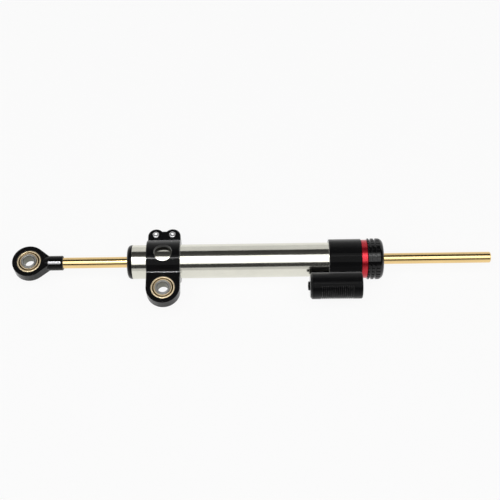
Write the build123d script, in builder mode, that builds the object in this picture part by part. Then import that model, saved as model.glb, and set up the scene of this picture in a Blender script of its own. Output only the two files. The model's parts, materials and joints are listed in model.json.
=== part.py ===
"""Motorcycle steering damper: a through-rod hydraulic damper with an outside reservoir.

Millimetres. The origin is the centre of the clamp's bearing. +X runs along the damper towards the
adjuster knob, +Z along the bearing bores and +Y from the clamp's lug towards its screw ears.
"""

from build123d import *
from math import cos, radians, sin, sqrt
import os

os.makedirs("parts", exist_ok=True)

# Room between pieces
FIT = 0.02  # radial, where a piece is pressed, screwed or bonded in place
RUN = 0.04  # radial, where a piece turns or slides
PLAY = 0.05  # between faces that rub
OVERRUN = 1.0  # how far a cut starts outside the face that it opens

# How high the clamp's bearing stands over the damper's axis
LUG_RISE = 4.45

# Stroke and rod
STROKE = 120.0
RETRACT = 44.0  # how far the rod can still move towards the knob
ROD_DIA = 8.0
ROD_CHAMFER = 0.6
STUD_DIA = 6.0
STUD_LENGTH = 13.0
ROD_TAIL = 3.1  # what still stands out of the knob at full extension
BUMP_ROOM = 3.5  # between the rod eye's neck and the front cap when fully retracted

# Bearings: a ball with a bolt bore in a race
BOLT_BORE_DIA = 8.0
BALL_WIDTH = 9.0
BALL_FACE = 1.362  # radial, from the bolt's bore to the round of the ball
BALL_CHAMFER = 0.5
BALL_PROUD = 0.9  # how far the ball stands out of its race at each end
RACE_WALL = 1.8
RACE_CHAMFER = 0.3
STAKE_INSET = 1.7  # from the race's outside to the middle of its stake groove
STAKE_WIDTH = 1.2
STAKE_DEPTH = 0.5
RACE_LIP = 0.8  # how far the housing reaches under the race
LEAD_IN = 0.4

# Rod eye
EYE_WALL = 3.4
EYE_COVER = 0.75  # how far the eye stands past the race at each face
EYE_CHAMFER = 0.4
SHOULDER_START = 48.0  # degrees round the eye from the rod's direction
SHOULDER_REACH = 2.4  # from the eye's edge
SHOULDER_END_WIDTH = 7.6
NECK_DIA = 10.8
NECK_LENGTH = 12.6  # from the eye's edge to the neck's end
NECK_CHAMFER = 0.5
NECK_CONE = 5.0

# Clamp
CAP_TO_CLAMP = 26.5  # from the front cap's face to the clamp's middle
CLAMP_WIDTH = 24.5
CLAMP_WALL = 3.3
CLAMP_CHAMFER = 0.5
LUG_COVER = 0.8  # how far the lug stands past the race at each face
LUG_WALL = 3.5  # between the race and the tube
EAR_RADIUS = 5.9
EAR_INSET = 0.3  # of the ears from the clamp's sides
EAR_SETBACK = 2.4  # from the ring's outside to the screws
EAR_THICKNESS = 12.0
EAR_VALLEY = 1.9
EAR_CHAMFER = 0.5
SLIT = 1.2
WINDOW_DIA = 13.3
SCREW_DIA = 2.5
SCREW_LENGTH = 10.0
SCREW_HEAD_DIA = 4.6
SCREW_HEAD_HEIGHT = 2.5
SCREW_HEAD_CHAMFER = 0.3
SCREW_KEY = 2.0
SCREW_KEY_DEPTH = 1.3

# Tube and liner
TUBE_DIA = 25.0
TUBE_BORE_SHARE = 0.88  # the shares are of the tube's outer diameter
LINER_SHARE = 0.8
LINER_BORE_SHARE = 0.72
SEAL_SHARE = 0.56  # seats of both rod seals
WIPER_SHARE = 0.52  # seats of both wipers
PORT_DIA = 1.6
PORT_INSET = 4.5  # from the liner's end
END_ROOM = 1.5  # left in the chamber beyond the piston at each end of its stroke

# Piston
PISTON_LENGTH = 12.0
PISTON_ROOM = 0.15  # radial, between the piston and the liner
BAND_WIDTH = 6.0
BAND_DEPTH = 0.9
BLEED_DIA = 1.0
BLEED_COUNT = 4
PISTON_CLIP = 0.8
PISTON_CLIP_WALL = 1.4  # how far the ring stands out of the rod
CLIP_GROOVE = 0.5  # depth of a retaining ring's groove
CLIP_GAP = 40.0  # degrees that a retaining ring leaves open

# Front cap
CAP_RIM = 3.6
CAP_ROUNDING = 3.0
CAP_SPIGOT = 9.9
CAP_NOSE = 2.5
WIPER_LENGTH = 3.0
WEB = 1.5
ROD_ROOM = 0.3  # radial, where the rod passes a bore that doesn't guide it
SEAL_LENGTH = 4.5
NOTCH_SHARE = 0.5  # how deep a seal's lips are split
LIP_SHARE = 0.35  # how far a wiper's lip is cut back
O_RING_SPACE = 2.0
O_RING_DEPTH = 1.3
O_RING_ROOM = 0.03

# Valve block
TUBE_SEAT = 10.0
BLOCK_WALL = 2.3
BLOCK_LENGTH = 23.4
BLOCK_CHAMFER = 0.4
GUIDE_NOSE = 3.5
GUIDE_FLANGE = 2.3
HUB_SHARE = 0.76
GUIDE_SHARE = 0.68
GUIDE_LENGTH = 6.0
GALLERY_SHARE = 0.92
GALLERY_LENGTH = 4.7
NOTCH_WIDTH = 2.0
NOTCH_COUNT = 4
BUSH_WALL = 1.0
SPINDLE_WALL = 2.5
REAR_WIPER_LENGTH = 4.0

# Reservoir beside the block
RESERVOIR_GAP = 0.2  # across, between the reservoir and the tube
RESERVOIR_RISE = 2.0  # of the reservoir's axis over the damper's
RESERVOIR_DIA = 19.4
RESERVOIR_WALL = 2.2
RESERVOIR_LEAD = 12.5  # how far it reaches past the block towards the clamp
RESERVOIR_FLOOR = 3.2
RESERVOIR_CHAMFER = 0.6
FIN_COUNT = 16
FIN_PITCH = 1.5
FIN_GROOVE = 0.7
FIN_DEPTH = 0.65
FIN_LEAD = 5.9  # from the reservoir's open end to the first groove
FIN_REACH = 4.5  # grooves lie beyond this distance from the reservoir's axis
FEED_DIA = 2.4
RESERVOIR_CAP_RIM = 1.7
RESERVOIR_CAP_CHAMFER = 0.8
RESERVOIR_CAP_SPIGOT = 4.0
FILL_HEAD_DIA = 6.6
FILL_HEAD_HEIGHT = 1.2
FILL_HEAD_CHAMFER = 0.4
FILL_DIA = 4.0
FILL_LENGTH = 4.5
FILL_KEY = 3.0
FILL_KEY_DEPTH = 0.8
FILL_WASHER = 0.3

# Floating piston and its spring
FLOAT_LENGTH = 6.0
SPRING_LENGTH = 9.0
SPRING_WIRE = 0.9
SPRING_DIA = 10.0
SPRING_TURNS = 5
SPRING_SEAT = 0.1

# Red click ring, knob and metering needle
RING_STEP = 0.7  # radial, from the block down to the red ring
RING_LENGTH = 4.7
RING_CHAMFER = 0.4
KNOB_GAP = 0.1
KNOB_STEP = 0.2  # radial, from the block up to the knob
KNOB_LENGTH = 11.5
KNOB_ROUNDING = 4.0
KNOB_RECESS_ROOM = 2.0  # radial, round the spindle
KNOB_RECESS = 3.0
KNOB_CAVITY_ROOM = 2.6  # radial, round the spindle
KNOB_CAVITY = 5.4
GRIP_ROWS = 3
GRIP_LEAD = 1.2  # from the knob's front to the first groove
GRIP_PITCH = 3.3  # from one groove to the next
GRIP_GROOVE = 1.4
GRIP_LENGTH = 8.7  # how far the slots between the studs run
GRIP_DEPTH = 0.9
GRIP_COUNT = 32
GRIP_SLOT = 0.85
KNOB_CLIP = 1.0
KNOB_CLIP_WALL = 1.2  # how far the ring stands out of the spindle
KNOB_CLIP_GROOVE = 0.8
ADJUSTER_ROOM = 0.9  # at each end of the adjuster ring
NEEDLE_DIA = 1.4
NEEDLE_TIP = 2.5
NEEDLE_TIP_SHARE = 0.3  # tip diameter as a share of the needle's
NEEDLE_REACH = 1.5  # how far the tip stands into the gallery
CLICK_COUNT = 24
CLICK_BALL_DIA = 1.5
CLICK_SHOW = 0.4
CLICK_TRACK = 0.4
CLICK_SPRING_WIRE = 0.3
CLICK_SPRING_TURNS = 3
CLICK_SPRING = 1.9

# Radii and other sizes that follow
rod_r = ROD_DIA / 2
rod_bore_r = rod_r + RUN
tube_r = TUBE_DIA / 2
tube_bore_r = tube_r * TUBE_BORE_SHARE
liner_r = tube_r * LINER_SHARE
liner_bore_r = tube_r * LINER_BORE_SHARE
spigot_r = tube_bore_r - FIT
nose_r = liner_bore_r - FIT
seal_r = tube_r * SEAL_SHARE
wiper_r = tube_r * WIPER_SHARE
block_r = tube_r + BLOCK_WALL
gallery_r = tube_r * GALLERY_SHARE
hub_r = tube_r * HUB_SHARE
guide_r = tube_r * GUIDE_SHARE
spindle_r = wiper_r + SPINDLE_WALL
ring_r = block_r - RING_STEP
knob_r = block_r + KNOB_STEP
knob_recess_r = spindle_r + KNOB_RECESS_ROOM
knob_cavity_r = spindle_r + KNOB_CAVITY_ROOM
needle_r = NEEDLE_DIA / 2
needle_circle_r = (spindle_r + knob_cavity_r) / 2
click_r = CLICK_BALL_DIA / 2
click_circle_r = (knob_cavity_r + ring_r) / 2
reservoir_r = RESERVOIR_DIA / 2
reservoir_bore_r = reservoir_r - RESERVOIR_WALL
reservoir_offset = tube_r + RESERVOIR_GAP + reservoir_r
bore_r = BOLT_BORE_DIA / 2
ball_half = BALL_WIDTH / 2
ball_face_r = bore_r + BALL_FACE
ball_r = sqrt(ball_face_r**2 + ball_half**2)
race_half = ball_half - BALL_PROUD
race_r = ball_r + RACE_WALL
eye_r = race_r + EYE_WALL
eye_half = race_half + EYE_COVER
clamp_r = tube_r + CLAMP_WALL
clamp_half = CLAMP_WIDTH / 2
lug_half = race_half + LUG_COVER
lug_offset = tube_r + LUG_WALL + race_r
ear_spacing = CLAMP_WIDTH - 2 * (EAR_RADIUS + EAR_INSET)
ear_reach = clamp_r + EAR_SETBACK

# Stations along the damper, from the clamp's middle
cap_x = -CAP_TO_CLAMP
tube_x = cap_x + CAP_RIM
liner_x = tube_x + CAP_SPIGOT
chamber_x = liner_x + CAP_NOSE
chamber_end = chamber_x + STROKE + PISTON_LENGTH + 2 * END_ROOM
liner_end = chamber_end + GUIDE_NOSE
tube_end = liner_end + GUIDE_FLANGE
block_x = tube_end - TUBE_SEAT
block_end = block_x + BLOCK_LENGTH
ring_end = block_end + RING_LENGTH
knob_x = ring_end + KNOB_GAP
knob_end = knob_x + KNOB_LENGTH
knob_web_x = knob_x + KNOB_CAVITY
knob_web_end = knob_end - KNOB_RECESS
gallery_end = tube_end + GALLERY_LENGTH
guide_end = gallery_end + GUIDE_LENGTH
rear_seal_end = guide_end + SEAL_LENGTH
clip_x = knob_web_end + PLAY
spindle_end = clip_x + 2 * KNOB_CLIP
rear_wiper_x = spindle_end - REAR_WIPER_LENGTH
front_wiper_end = cap_x + WIPER_LENGTH
front_seal_x = front_wiper_end + WEB
front_bush_x = front_seal_x + SEAL_LENGTH
piston_x = chamber_end - END_ROOM - RETRACT - PISTON_LENGTH
piston_end = piston_x + PISTON_LENGTH
neck_end = cap_x - BUMP_ROOM - RETRACT
eye_x = neck_end - NECK_LENGTH - eye_r
rod_x = neck_end - STUD_LENGTH
rod_end = knob_end + STROKE - RETRACT + ROD_TAIL
reservoir_x = block_x - RESERVOIR_LEAD
reservoir_floor_x = block_end - RESERVOIR_FLOOR
reservoir_cap_x = reservoir_x - RESERVOIR_CAP_RIM
reservoir_spigot_end = reservoir_x + RESERVOIR_CAP_SPIGOT
float_x = reservoir_spigot_end + SPRING_LENGTH
float_end = float_x + FLOAT_LENGTH
adjuster_x = knob_x + ADJUSTER_ROOM
adjuster_end = knob_web_x - ADJUSTER_ROOM

# Planes and axes
AXIS_POINT = (0, lug_offset, -LUG_RISE)
RESERVOIR_POINT = (0, lug_offset - reservoir_offset, RESERVOIR_RISE - LUG_RISE)
DAMPER = Plane(origin=AXIS_POINT, x_dir=(1, 0, 0), z_dir=(0, 0, 1))
RESERVOIR = Plane(origin=RESERVOIR_POINT, x_dir=(1, 0, 0), z_dir=(0, 0, 1))


def cross(station, plane=DAMPER):
    """Plane square to the damper at a station: its x is +Y, its y is +Z and it faces +X."""
    origin = plane.origin + Vector(station, 0, 0)
    return Plane(origin=origin, x_dir=(0, 1, 0), z_dir=(1, 0, 0))


def upright(x, y, z):
    """Plane through an upright axis: its x is +X, its y is +Z and it faces -Y."""
    return Plane(origin=(x, y, z), x_dir=(1, 0, 0), z_dir=(0, -1, 0))


def turned(*corners, plane=DAMPER, mode=Mode.ADD):
    """Body of revolution about the plane's x, from corners given as (station, radius)."""
    with BuildSketch(plane) as section:
        with BuildLine():
            Polyline(*corners, close=True)
        make_face()
    revolve(section.sketch, axis=Axis(plane.origin, plane.x_dir), mode=mode)


def ring(start, end, inner, outer, plane=DAMPER, mode=Mode.ADD):
    """Plain ring or, with no inner radius, a plain disc about the plane's x."""
    turned((start, inner), (end, inner), (end, outer), (start, outer), plane=plane, mode=mode)


def o_ring(middle, floor, wall, plane=DAMPER):
    """O-ring between a groove's floor and the bore's wall."""
    with BuildSketch(plane) as section:
        with Locations((middle, (floor + wall) / 2)):
            Circle((wall - floor) / 2 - O_RING_ROOM)
    revolve(section.sketch, axis=Axis(plane.origin, plane.x_dir))


def lip_seal(back, front, inner, outer):
    """Rod seal whose two lips are split from the pressure side."""
    notch = front - (front - back) * NOTCH_SHARE
    turned((back, inner), (front, inner), (notch, (inner + outer) / 2), (front, outer), (back, outer))


def wiper(face, back, inner, outer):
    """Dirt scraper whose face is cut back in a cone round its lip."""
    cut = face + (back - face) * LIP_SHARE
    turned((face, inner), (back, inner), (back, outer), (cut, outer), (cut, (inner + outer) / 2))


def open_ring(start, thickness, inner, outer):
    """Retaining ring: a flat ring with a gap."""
    with BuildSketch(cross(start)) as section:
        Circle(outer)
        Circle(inner, mode=Mode.SUBTRACT)
        half = radians(CLIP_GAP / 2)
        with BuildLine():
            Polyline(
                (0, 0),
                (2 * outer * cos(half), 2 * outer * sin(half)),
                (2 * outer * cos(half), -2 * outer * sin(half)),
                close=True,
            )
        make_face(mode=Mode.SUBTRACT)
    extrude(section.sketch, amount=thickness)


def coil(start, end, radius, wire_r, turns, plane):
    """Compression spring about the plane's x, from start to end outside its wire."""
    height = end - start - 2 * wire_r
    foot = plane.origin + Vector(start + wire_r, 0, 0)
    with BuildLine() as path:
        Helix(pitch=height / turns, height=height, radius=radius, center=foot, direction=(1, 0, 0))
    wire = path.wires()[0]
    with BuildSketch(Plane(origin=wire @ 0, z_dir=wire % 0)) as section:
        Circle(wire_r)
    sweep(section.sketch, path=wire)


# Steel tube round the whole damper
with BuildPart() as outer_tube:
    ring(tube_x, tube_end, tube_bore_r, tube_r)
outer_tube.part.label = "outer_tube"
export_step(outer_tube.part, "parts/outer_tube.step")

# Liner that the piston runs in, with oil ports at both ends
with BuildPart() as inner_liner:
    ring(liner_x, liner_end, liner_bore_r, liner_r)
    for station in (liner_x + PORT_INSET, liner_end - PORT_INSET):
        with BuildSketch(Plane.XY.offset(-LUG_RISE)) as bores:
            with Locations((station, lug_offset)):
                Circle(PORT_DIA / 2)
        extrude(bores.sketch, amount=liner_r + OVERRUN, both=True, mode=Mode.SUBTRACT)
        with BuildSketch(Plane.XZ.offset(-lug_offset)) as side_bores:
            with Locations((station, -LUG_RISE)):
                Circle(PORT_DIA / 2)
        extrude(side_bores.sketch, amount=liner_r + OVERRUN, both=True, mode=Mode.SUBTRACT)
inner_liner.part.label = "inner_liner"
export_step(inner_liner.part, "parts/inner_liner.step")

# Front cap: a rounded rim outside, a spigot in the tube and a nose that centres the liner
cap_groove_x = (tube_x + liner_x) / 2
with BuildPart() as front_cap:
    ring(cap_x, tube_x, 0, tube_r)
    fillet(front_cap.edges().group_by(Axis.X)[0], CAP_ROUNDING)
    ring(tube_x, liner_x, 0, spigot_r)
    ring(liner_x, chamber_x, 0, nose_r)
    ring(cap_x - OVERRUN, front_wiper_end, 0, wiper_r, mode=Mode.SUBTRACT)
    ring(front_wiper_end - OVERRUN, front_seal_x + OVERRUN, 0, rod_r + ROD_ROOM, mode=Mode.SUBTRACT)
    ring(front_seal_x, chamber_x + OVERRUN, 0, seal_r, mode=Mode.SUBTRACT)
    ring(
        cap_groove_x - O_RING_SPACE / 2,
        cap_groove_x + O_RING_SPACE / 2,
        spigot_r - O_RING_DEPTH,
        spigot_r + OVERRUN,
        mode=Mode.SUBTRACT,
    )
front_cap.part.label = "front_cap"
export_step(front_cap.part, "parts/front_cap.step")

with BuildPart() as front_cap_o_ring:
    o_ring(cap_groove_x, spigot_r - O_RING_DEPTH, tube_bore_r)
front_cap_o_ring.part.label = "front_cap_o_ring"
export_step(front_cap_o_ring.part, "parts/front_cap_o_ring.step")

with BuildPart() as front_wiper:
    wiper(cap_x, front_wiper_end, rod_bore_r, wiper_r - FIT)
front_wiper.part.label = "front_wiper"
export_step(front_wiper.part, "parts/front_wiper.step")

with BuildPart() as front_rod_seal:
    lip_seal(front_seal_x, front_bush_x, rod_bore_r, seal_r - FIT)
front_rod_seal.part.label = "front_rod_seal"
export_step(front_rod_seal.part, "parts/front_rod_seal.step")

with BuildPart() as front_bush:
    ring(front_bush_x, chamber_x, rod_bore_r, seal_r - FIT)
front_bush.part.label = "front_bush"
export_step(front_bush.part, "parts/front_bush.step")

# Valve block: the tube's seat, the spindle for the knob and the reservoir, in one piece
clip_groove_r = spindle_r - KNOB_CLIP_GROOVE
block_groove_x = block_x + TUBE_SEAT / 2
with BuildPart() as valve_block:
    ring(block_x, block_end, 0, block_r)
    chamfer(valve_block.edges().group_by(Axis.X)[0], BLOCK_CHAMFER)
    turned(
        (reservoir_x, 0),
        (reservoir_x, reservoir_r),
        (block_end - RESERVOIR_CHAMFER, reservoir_r),
        (block_end, reservoir_r - RESERVOIR_CHAMFER),
        (block_end, 0),
        plane=RESERVOIR,
    )
    ring(block_end, spindle_end, 0, spindle_r)
    ring(block_x - OVERRUN, tube_end, 0, tube_r + FIT, mode=Mode.SUBTRACT)
    ring(tube_end - OVERRUN, gallery_end, 0, gallery_r, mode=Mode.SUBTRACT)
    ring(gallery_end - OVERRUN, guide_end, 0, guide_r, mode=Mode.SUBTRACT)
    ring(guide_end - OVERRUN, rear_seal_end, 0, seal_r, mode=Mode.SUBTRACT)
    ring(rear_seal_end - OVERRUN, spindle_end, 0, rod_r + ROD_ROOM, mode=Mode.SUBTRACT)
    ring(rear_wiper_x, spindle_end + OVERRUN, 0, wiper_r, mode=Mode.SUBTRACT)
    ring(clip_x, clip_x + KNOB_CLIP, clip_groove_r, spindle_r + OVERRUN, mode=Mode.SUBTRACT)
    ring(
        block_groove_x - O_RING_SPACE / 2,
        block_groove_x + O_RING_SPACE / 2,
        0,
        tube_r + O_RING_DEPTH,
        mode=Mode.SUBTRACT,
    )
    ring(reservoir_x - OVERRUN, reservoir_floor_x, 0, reservoir_bore_r, plane=RESERVOIR, mode=Mode.SUBTRACT)
    with BuildSketch(Plane.XZ.offset(-lug_offset + gallery_r)) as feed:
        with Locations(((tube_end + gallery_end) / 2, -LUG_RISE)):
            Circle(FEED_DIA / 2)
    extrude(feed.sketch, amount=reservoir_offset - gallery_r, mode=Mode.SUBTRACT)
    with BuildSketch(cross(gallery_end - OVERRUN)) as needle_way:
        with Locations((needle_circle_r, 0)):
            Circle(needle_r + RUN)
    extrude(needle_way.sketch, amount=block_end - gallery_end + 2 * OVERRUN, mode=Mode.SUBTRACT)
    grooves = [cross(reservoir_x + FIN_LEAD + n * FIN_PITCH, RESERVOIR) for n in range(FIN_COUNT)]
    with BuildSketch(*grooves) as fins:
        Circle(reservoir_r + OVERRUN)
        Circle(reservoir_r - FIN_DEPTH, mode=Mode.SUBTRACT)
        with Locations((-FIN_REACH, 0)):
            Rectangle(
                RESERVOIR_DIA, 2 * RESERVOIR_DIA, align=(Align.MAX, Align.CENTER), mode=Mode.INTERSECT
            )
    extrude(fins.sketch, amount=FIN_GROOVE, dir=(1, 0, 0), mode=Mode.SUBTRACT)
valve_block.part.label = "valve_block"
export_step(valve_block.part, "parts/valve_block.step")

with BuildPart() as block_o_ring:
    o_ring(block_groove_x, tube_r, tube_r + O_RING_DEPTH)
block_o_ring.part.label = "block_o_ring"
export_step(block_o_ring.part, "parts/block_o_ring.step")

# Rear guide: its nose centres the liner, and notches in its flange let oil into the gallery
with BuildPart() as rear_guide:
    ring(chamber_end, liner_end, 0, nose_r)
    ring(liner_end, tube_end, 0, spigot_r)
    ring(tube_end, gallery_end, 0, hub_r)
    ring(gallery_end, guide_end, 0, guide_r - FIT)
    ring(chamber_end - OVERRUN, guide_end + OVERRUN, 0, rod_bore_r + BUSH_WALL + FIT, mode=Mode.SUBTRACT)
    with BuildSketch(cross(liner_end)) as notches:
        with PolarLocations(spigot_r, NOTCH_COUNT):
            Rectangle(2 * (spigot_r - hub_r), NOTCH_WIDTH)
    extrude(notches.sketch, amount=GUIDE_FLANGE, mode=Mode.SUBTRACT)
rear_guide.part.label = "rear_guide"
export_step(rear_guide.part, "parts/rear_guide.step")

with BuildPart() as rear_bush:
    ring(chamber_end, guide_end, rod_bore_r, rod_bore_r + BUSH_WALL)
rear_bush.part.label = "rear_bush"
export_step(rear_bush.part, "parts/rear_bush.step")

with BuildPart() as rear_rod_seal:
    lip_seal(rear_seal_end, guide_end, rod_bore_r, seal_r - FIT)
rear_rod_seal.part.label = "rear_rod_seal"
export_step(rear_rod_seal.part, "parts/rear_rod_seal.step")

with BuildPart() as rear_wiper:
    wiper(spindle_end, rear_wiper_x, rod_bore_r, wiper_r - FIT)
rear_wiper.part.label = "rear_wiper"
export_step(rear_wiper.part, "parts/rear_wiper.step")

# Reservoir cap and fill screw
reservoir_groove_x = reservoir_x + RESERVOIR_CAP_SPIGOT / 2
fill_r = FILL_DIA / 2
with BuildPart() as reservoir_cap:
    ring(reservoir_cap_x, reservoir_x, 0, reservoir_r, plane=RESERVOIR)
    chamfer(reservoir_cap.edges().group_by(Axis.X)[0], RESERVOIR_CAP_CHAMFER)
    ring(reservoir_x, reservoir_spigot_end, 0, reservoir_bore_r - FIT, plane=RESERVOIR)
    ring(
        reservoir_groove_x - O_RING_SPACE / 2,
        reservoir_groove_x + O_RING_SPACE / 2,
        reservoir_bore_r - O_RING_DEPTH,
        reservoir_bore_r + OVERRUN,
        plane=RESERVOIR,
        mode=Mode.SUBTRACT,
    )
    ring(
        reservoir_cap_x - OVERRUN,
        reservoir_spigot_end + OVERRUN,
        0,
        fill_r + FIT,
        plane=RESERVOIR,
        mode=Mode.SUBTRACT,
    )
reservoir_cap.part.label = "reservoir_cap"
export_step(reservoir_cap.part, "parts/reservoir_cap.step")

with BuildPart() as reservoir_cap_o_ring:
    o_ring(reservoir_groove_x, reservoir_bore_r - O_RING_DEPTH, reservoir_bore_r, plane=RESERVOIR)
reservoir_cap_o_ring.part.label = "reservoir_cap_o_ring"
export_step(reservoir_cap_o_ring.part, "parts/reservoir_cap_o_ring.step")

fill_washer_x = reservoir_cap_x - FILL_WASHER
fill_head_x = fill_washer_x - FILL_HEAD_HEIGHT
with BuildPart() as fill_screw:
    ring(fill_head_x, fill_washer_x, 0, FILL_HEAD_DIA / 2, plane=RESERVOIR)
    chamfer(fill_screw.edges().group_by(Axis.X)[0], FILL_HEAD_CHAMFER)
    ring(fill_washer_x, fill_washer_x + FILL_LENGTH, 0, fill_r, plane=RESERVOIR)
    with BuildSketch(cross(fill_head_x, RESERVOIR)) as key:
        RegularPolygon(FILL_KEY / 2, 6, major_radius=False)
    extrude(key.sketch, amount=FILL_KEY_DEPTH, mode=Mode.SUBTRACT)
fill_screw.part.label = "fill_screw"
export_step(fill_screw.part, "parts/fill_screw.step")

with BuildPart() as fill_screw_washer:
    ring(fill_washer_x, reservoir_cap_x, fill_r + FIT, FILL_HEAD_DIA / 2, plane=RESERVOIR)
fill_screw_washer.part.label = "fill_screw_washer"
export_step(fill_screw_washer.part, "parts/fill_screw_washer.step")

# Floating piston, which keeps air out of the oil, and the spring behind it
float_r = reservoir_bore_r - RUN
float_groove_x = (float_x + float_end) / 2
with BuildPart() as floating_piston:
    ring(float_x, float_end, 0, float_r, plane=RESERVOIR)
    ring(
        float_groove_x - O_RING_SPACE / 2,
        float_groove_x + O_RING_SPACE / 2,
        float_r - O_RING_DEPTH,
        float_r + OVERRUN,
        plane=RESERVOIR,
        mode=Mode.SUBTRACT,
    )
floating_piston.part.label = "floating_piston"
export_step(floating_piston.part, "parts/floating_piston.step")

with BuildPart() as floating_piston_o_ring:
    o_ring(float_groove_x, float_r - O_RING_DEPTH, reservoir_bore_r, plane=RESERVOIR)
floating_piston_o_ring.part.label = "floating_piston_o_ring"
export_step(floating_piston_o_ring.part, "parts/floating_piston_o_ring.step")

with BuildPart() as reservoir_spring:
    coil(
        reservoir_spigot_end + SPRING_SEAT,
        float_x - SPRING_SEAT,
        (SPRING_DIA - SPRING_WIRE) / 2,
        SPRING_WIRE / 2,
        SPRING_TURNS,
        RESERVOIR,
    )
reservoir_spring.part.label = "reservoir_spring"
export_step(reservoir_spring.part, "parts/reservoir_spring.step")

# Red click ring with its sprung ball
click_x = ring_end + CLICK_SHOW - click_r
click_spring_x = click_x - click_r - CLICK_SPRING
CLICK = Plane(origin=DAMPER.origin + Vector(0, 0, click_circle_r), x_dir=(1, 0, 0), z_dir=(0, 0, 1))
with BuildPart() as click_ring:
    ring(block_end, ring_end, 0, ring_r)
    chamfer(click_ring.edges(), RING_CHAMFER)
    ring(block_end - OVERRUN, ring_end + OVERRUN, 0, spindle_r + FIT, mode=Mode.SUBTRACT)
    with BuildSketch(cross(block_end - OVERRUN)) as needle_way:
        with Locations((needle_circle_r, 0)):
            Circle(needle_r + RUN)
    extrude(needle_way.sketch, amount=RING_LENGTH + 2 * OVERRUN, mode=Mode.SUBTRACT)
    ring(click_spring_x, ring_end + OVERRUN, 0, click_r + RUN, plane=CLICK, mode=Mode.SUBTRACT)
click_ring.part.label = "click_ring"
export_step(click_ring.part, "parts/click_ring.step")

with BuildPart() as click_ball:
    with Locations(CLICK.origin + Vector(click_x, 0, 0)):
        Sphere(click_r)
click_ball.part.label = "click_ball"
export_step(click_ball.part, "parts/click_ball.step")

with BuildPart() as click_spring:
    coil(
        click_spring_x,
        click_x - click_r,
        click_r - CLICK_SPRING_WIRE,
        CLICK_SPRING_WIRE / 2,
        CLICK_SPRING_TURNS,
        CLICK,
    )
click_spring.part.label = "click_spring"
export_step(click_spring.part, "parts/click_spring.step")

# Adjuster knob: three rows of square studs round a rounded cup
with BuildPart() as adjuster_knob:
    ring(knob_x, knob_end, 0, knob_r)
    fillet(adjuster_knob.edges().group_by(Axis.X)[-1], KNOB_ROUNDING)
    ring(knob_x - OVERRUN, knob_web_x, 0, knob_cavity_r, mode=Mode.SUBTRACT)
    ring(knob_web_x - OVERRUN, knob_end, 0, spindle_r + RUN, mode=Mode.SUBTRACT)
    ring(knob_web_end, knob_end + OVERRUN, 0, knob_recess_r, mode=Mode.SUBTRACT)
    for groove in range(GRIP_ROWS - 1):
        groove_x = knob_x + GRIP_LEAD + groove * GRIP_PITCH
        ring(
            groove_x, groove_x + GRIP_GROOVE, knob_r - GRIP_DEPTH, knob_r + OVERRUN, mode=Mode.SUBTRACT
        )
    with BuildSketch(cross(knob_x - OVERRUN)) as slots:
        with PolarLocations(knob_r, GRIP_COUNT):
            Rectangle(2 * GRIP_DEPTH, GRIP_SLOT)
    extrude(slots.sketch, amount=GRIP_LENGTH + OVERRUN, mode=Mode.SUBTRACT)
    ring(
        knob_x - OVERRUN,
        knob_x + CLICK_TRACK,
        click_circle_r - click_r,
        click_circle_r + click_r,
        mode=Mode.SUBTRACT,
    )
    with BuildSketch(cross(knob_x)) as clicks:
        with PolarLocations(click_circle_r, CLICK_COUNT):
            Circle(click_r - CLICK_SHOW / 2)
    extrude(clicks.sketch, amount=2 * CLICK_TRACK, mode=Mode.SUBTRACT)
adjuster_knob.part.label = "adjuster_knob"
export_step(adjuster_knob.part, "parts/adjuster_knob.step")

with BuildPart() as knob_clip:
    open_ring(clip_x, KNOB_CLIP, clip_groove_r, spindle_r + KNOB_CLIP_WALL)
knob_clip.part.label = "knob_clip"
export_step(knob_clip.part, "parts/knob_clip.step")

# Adjuster ring inside the knob and the needle that it carries into the block
with BuildPart() as adjuster_ring:
    ring(adjuster_x, adjuster_end, spindle_r + RUN, knob_cavity_r - RUN)
    with BuildSketch(cross(adjuster_x - OVERRUN)) as needle_seat:
        with Locations((needle_circle_r, 0)):
            Circle(needle_r + FIT)
    extrude(needle_seat.sketch, amount=KNOB_CAVITY + OVERRUN, mode=Mode.SUBTRACT)
adjuster_ring.part.label = "adjuster_ring"
export_step(adjuster_ring.part, "parts/adjuster_ring.step")

needle_plane = Plane(
    origin=DAMPER.origin + Vector(0, needle_circle_r, 0), x_dir=(1, 0, 0), z_dir=(0, 0, 1)
)
needle_x = gallery_end - NEEDLE_REACH
with BuildPart() as metering_needle:
    turned(
        (needle_x, 0),
        (needle_x, needle_r * NEEDLE_TIP_SHARE),
        (needle_x + NEEDLE_TIP, needle_r),
        (adjuster_end, needle_r),
        (adjuster_end, 0),
        plane=needle_plane,
    )
metering_needle.part.label = "metering_needle"
export_step(metering_needle.part, "parts/metering_needle.step")

# Piston with its band, held between two rings on the rod
piston_r = liner_bore_r - PISTON_ROOM
band_floor = liner_bore_r - BAND_DEPTH
clip_r = rod_r + PISTON_CLIP_WALL
band_x = piston_x + (PISTON_LENGTH - BAND_WIDTH) / 2
band_end = band_x + BAND_WIDTH
with BuildPart() as piston:
    ring(piston_x, piston_end, rod_bore_r, piston_r)
    ring(band_x, band_end, band_floor, liner_bore_r + OVERRUN, mode=Mode.SUBTRACT)
    with BuildSketch(cross(piston_x)) as bleeds:
        with PolarLocations((clip_r + band_floor) / 2, BLEED_COUNT):
            Circle(BLEED_DIA / 2)
    extrude(bleeds.sketch, amount=PISTON_LENGTH, mode=Mode.SUBTRACT)
piston.part.label = "piston"
export_step(piston.part, "parts/piston.step")

with BuildPart() as piston_band:
    ring(band_x + FIT, band_end - FIT, band_floor + FIT, liner_bore_r - RUN)
piston_band.part.label = "piston_band"
export_step(piston_band.part, "parts/piston_band.step")

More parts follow.
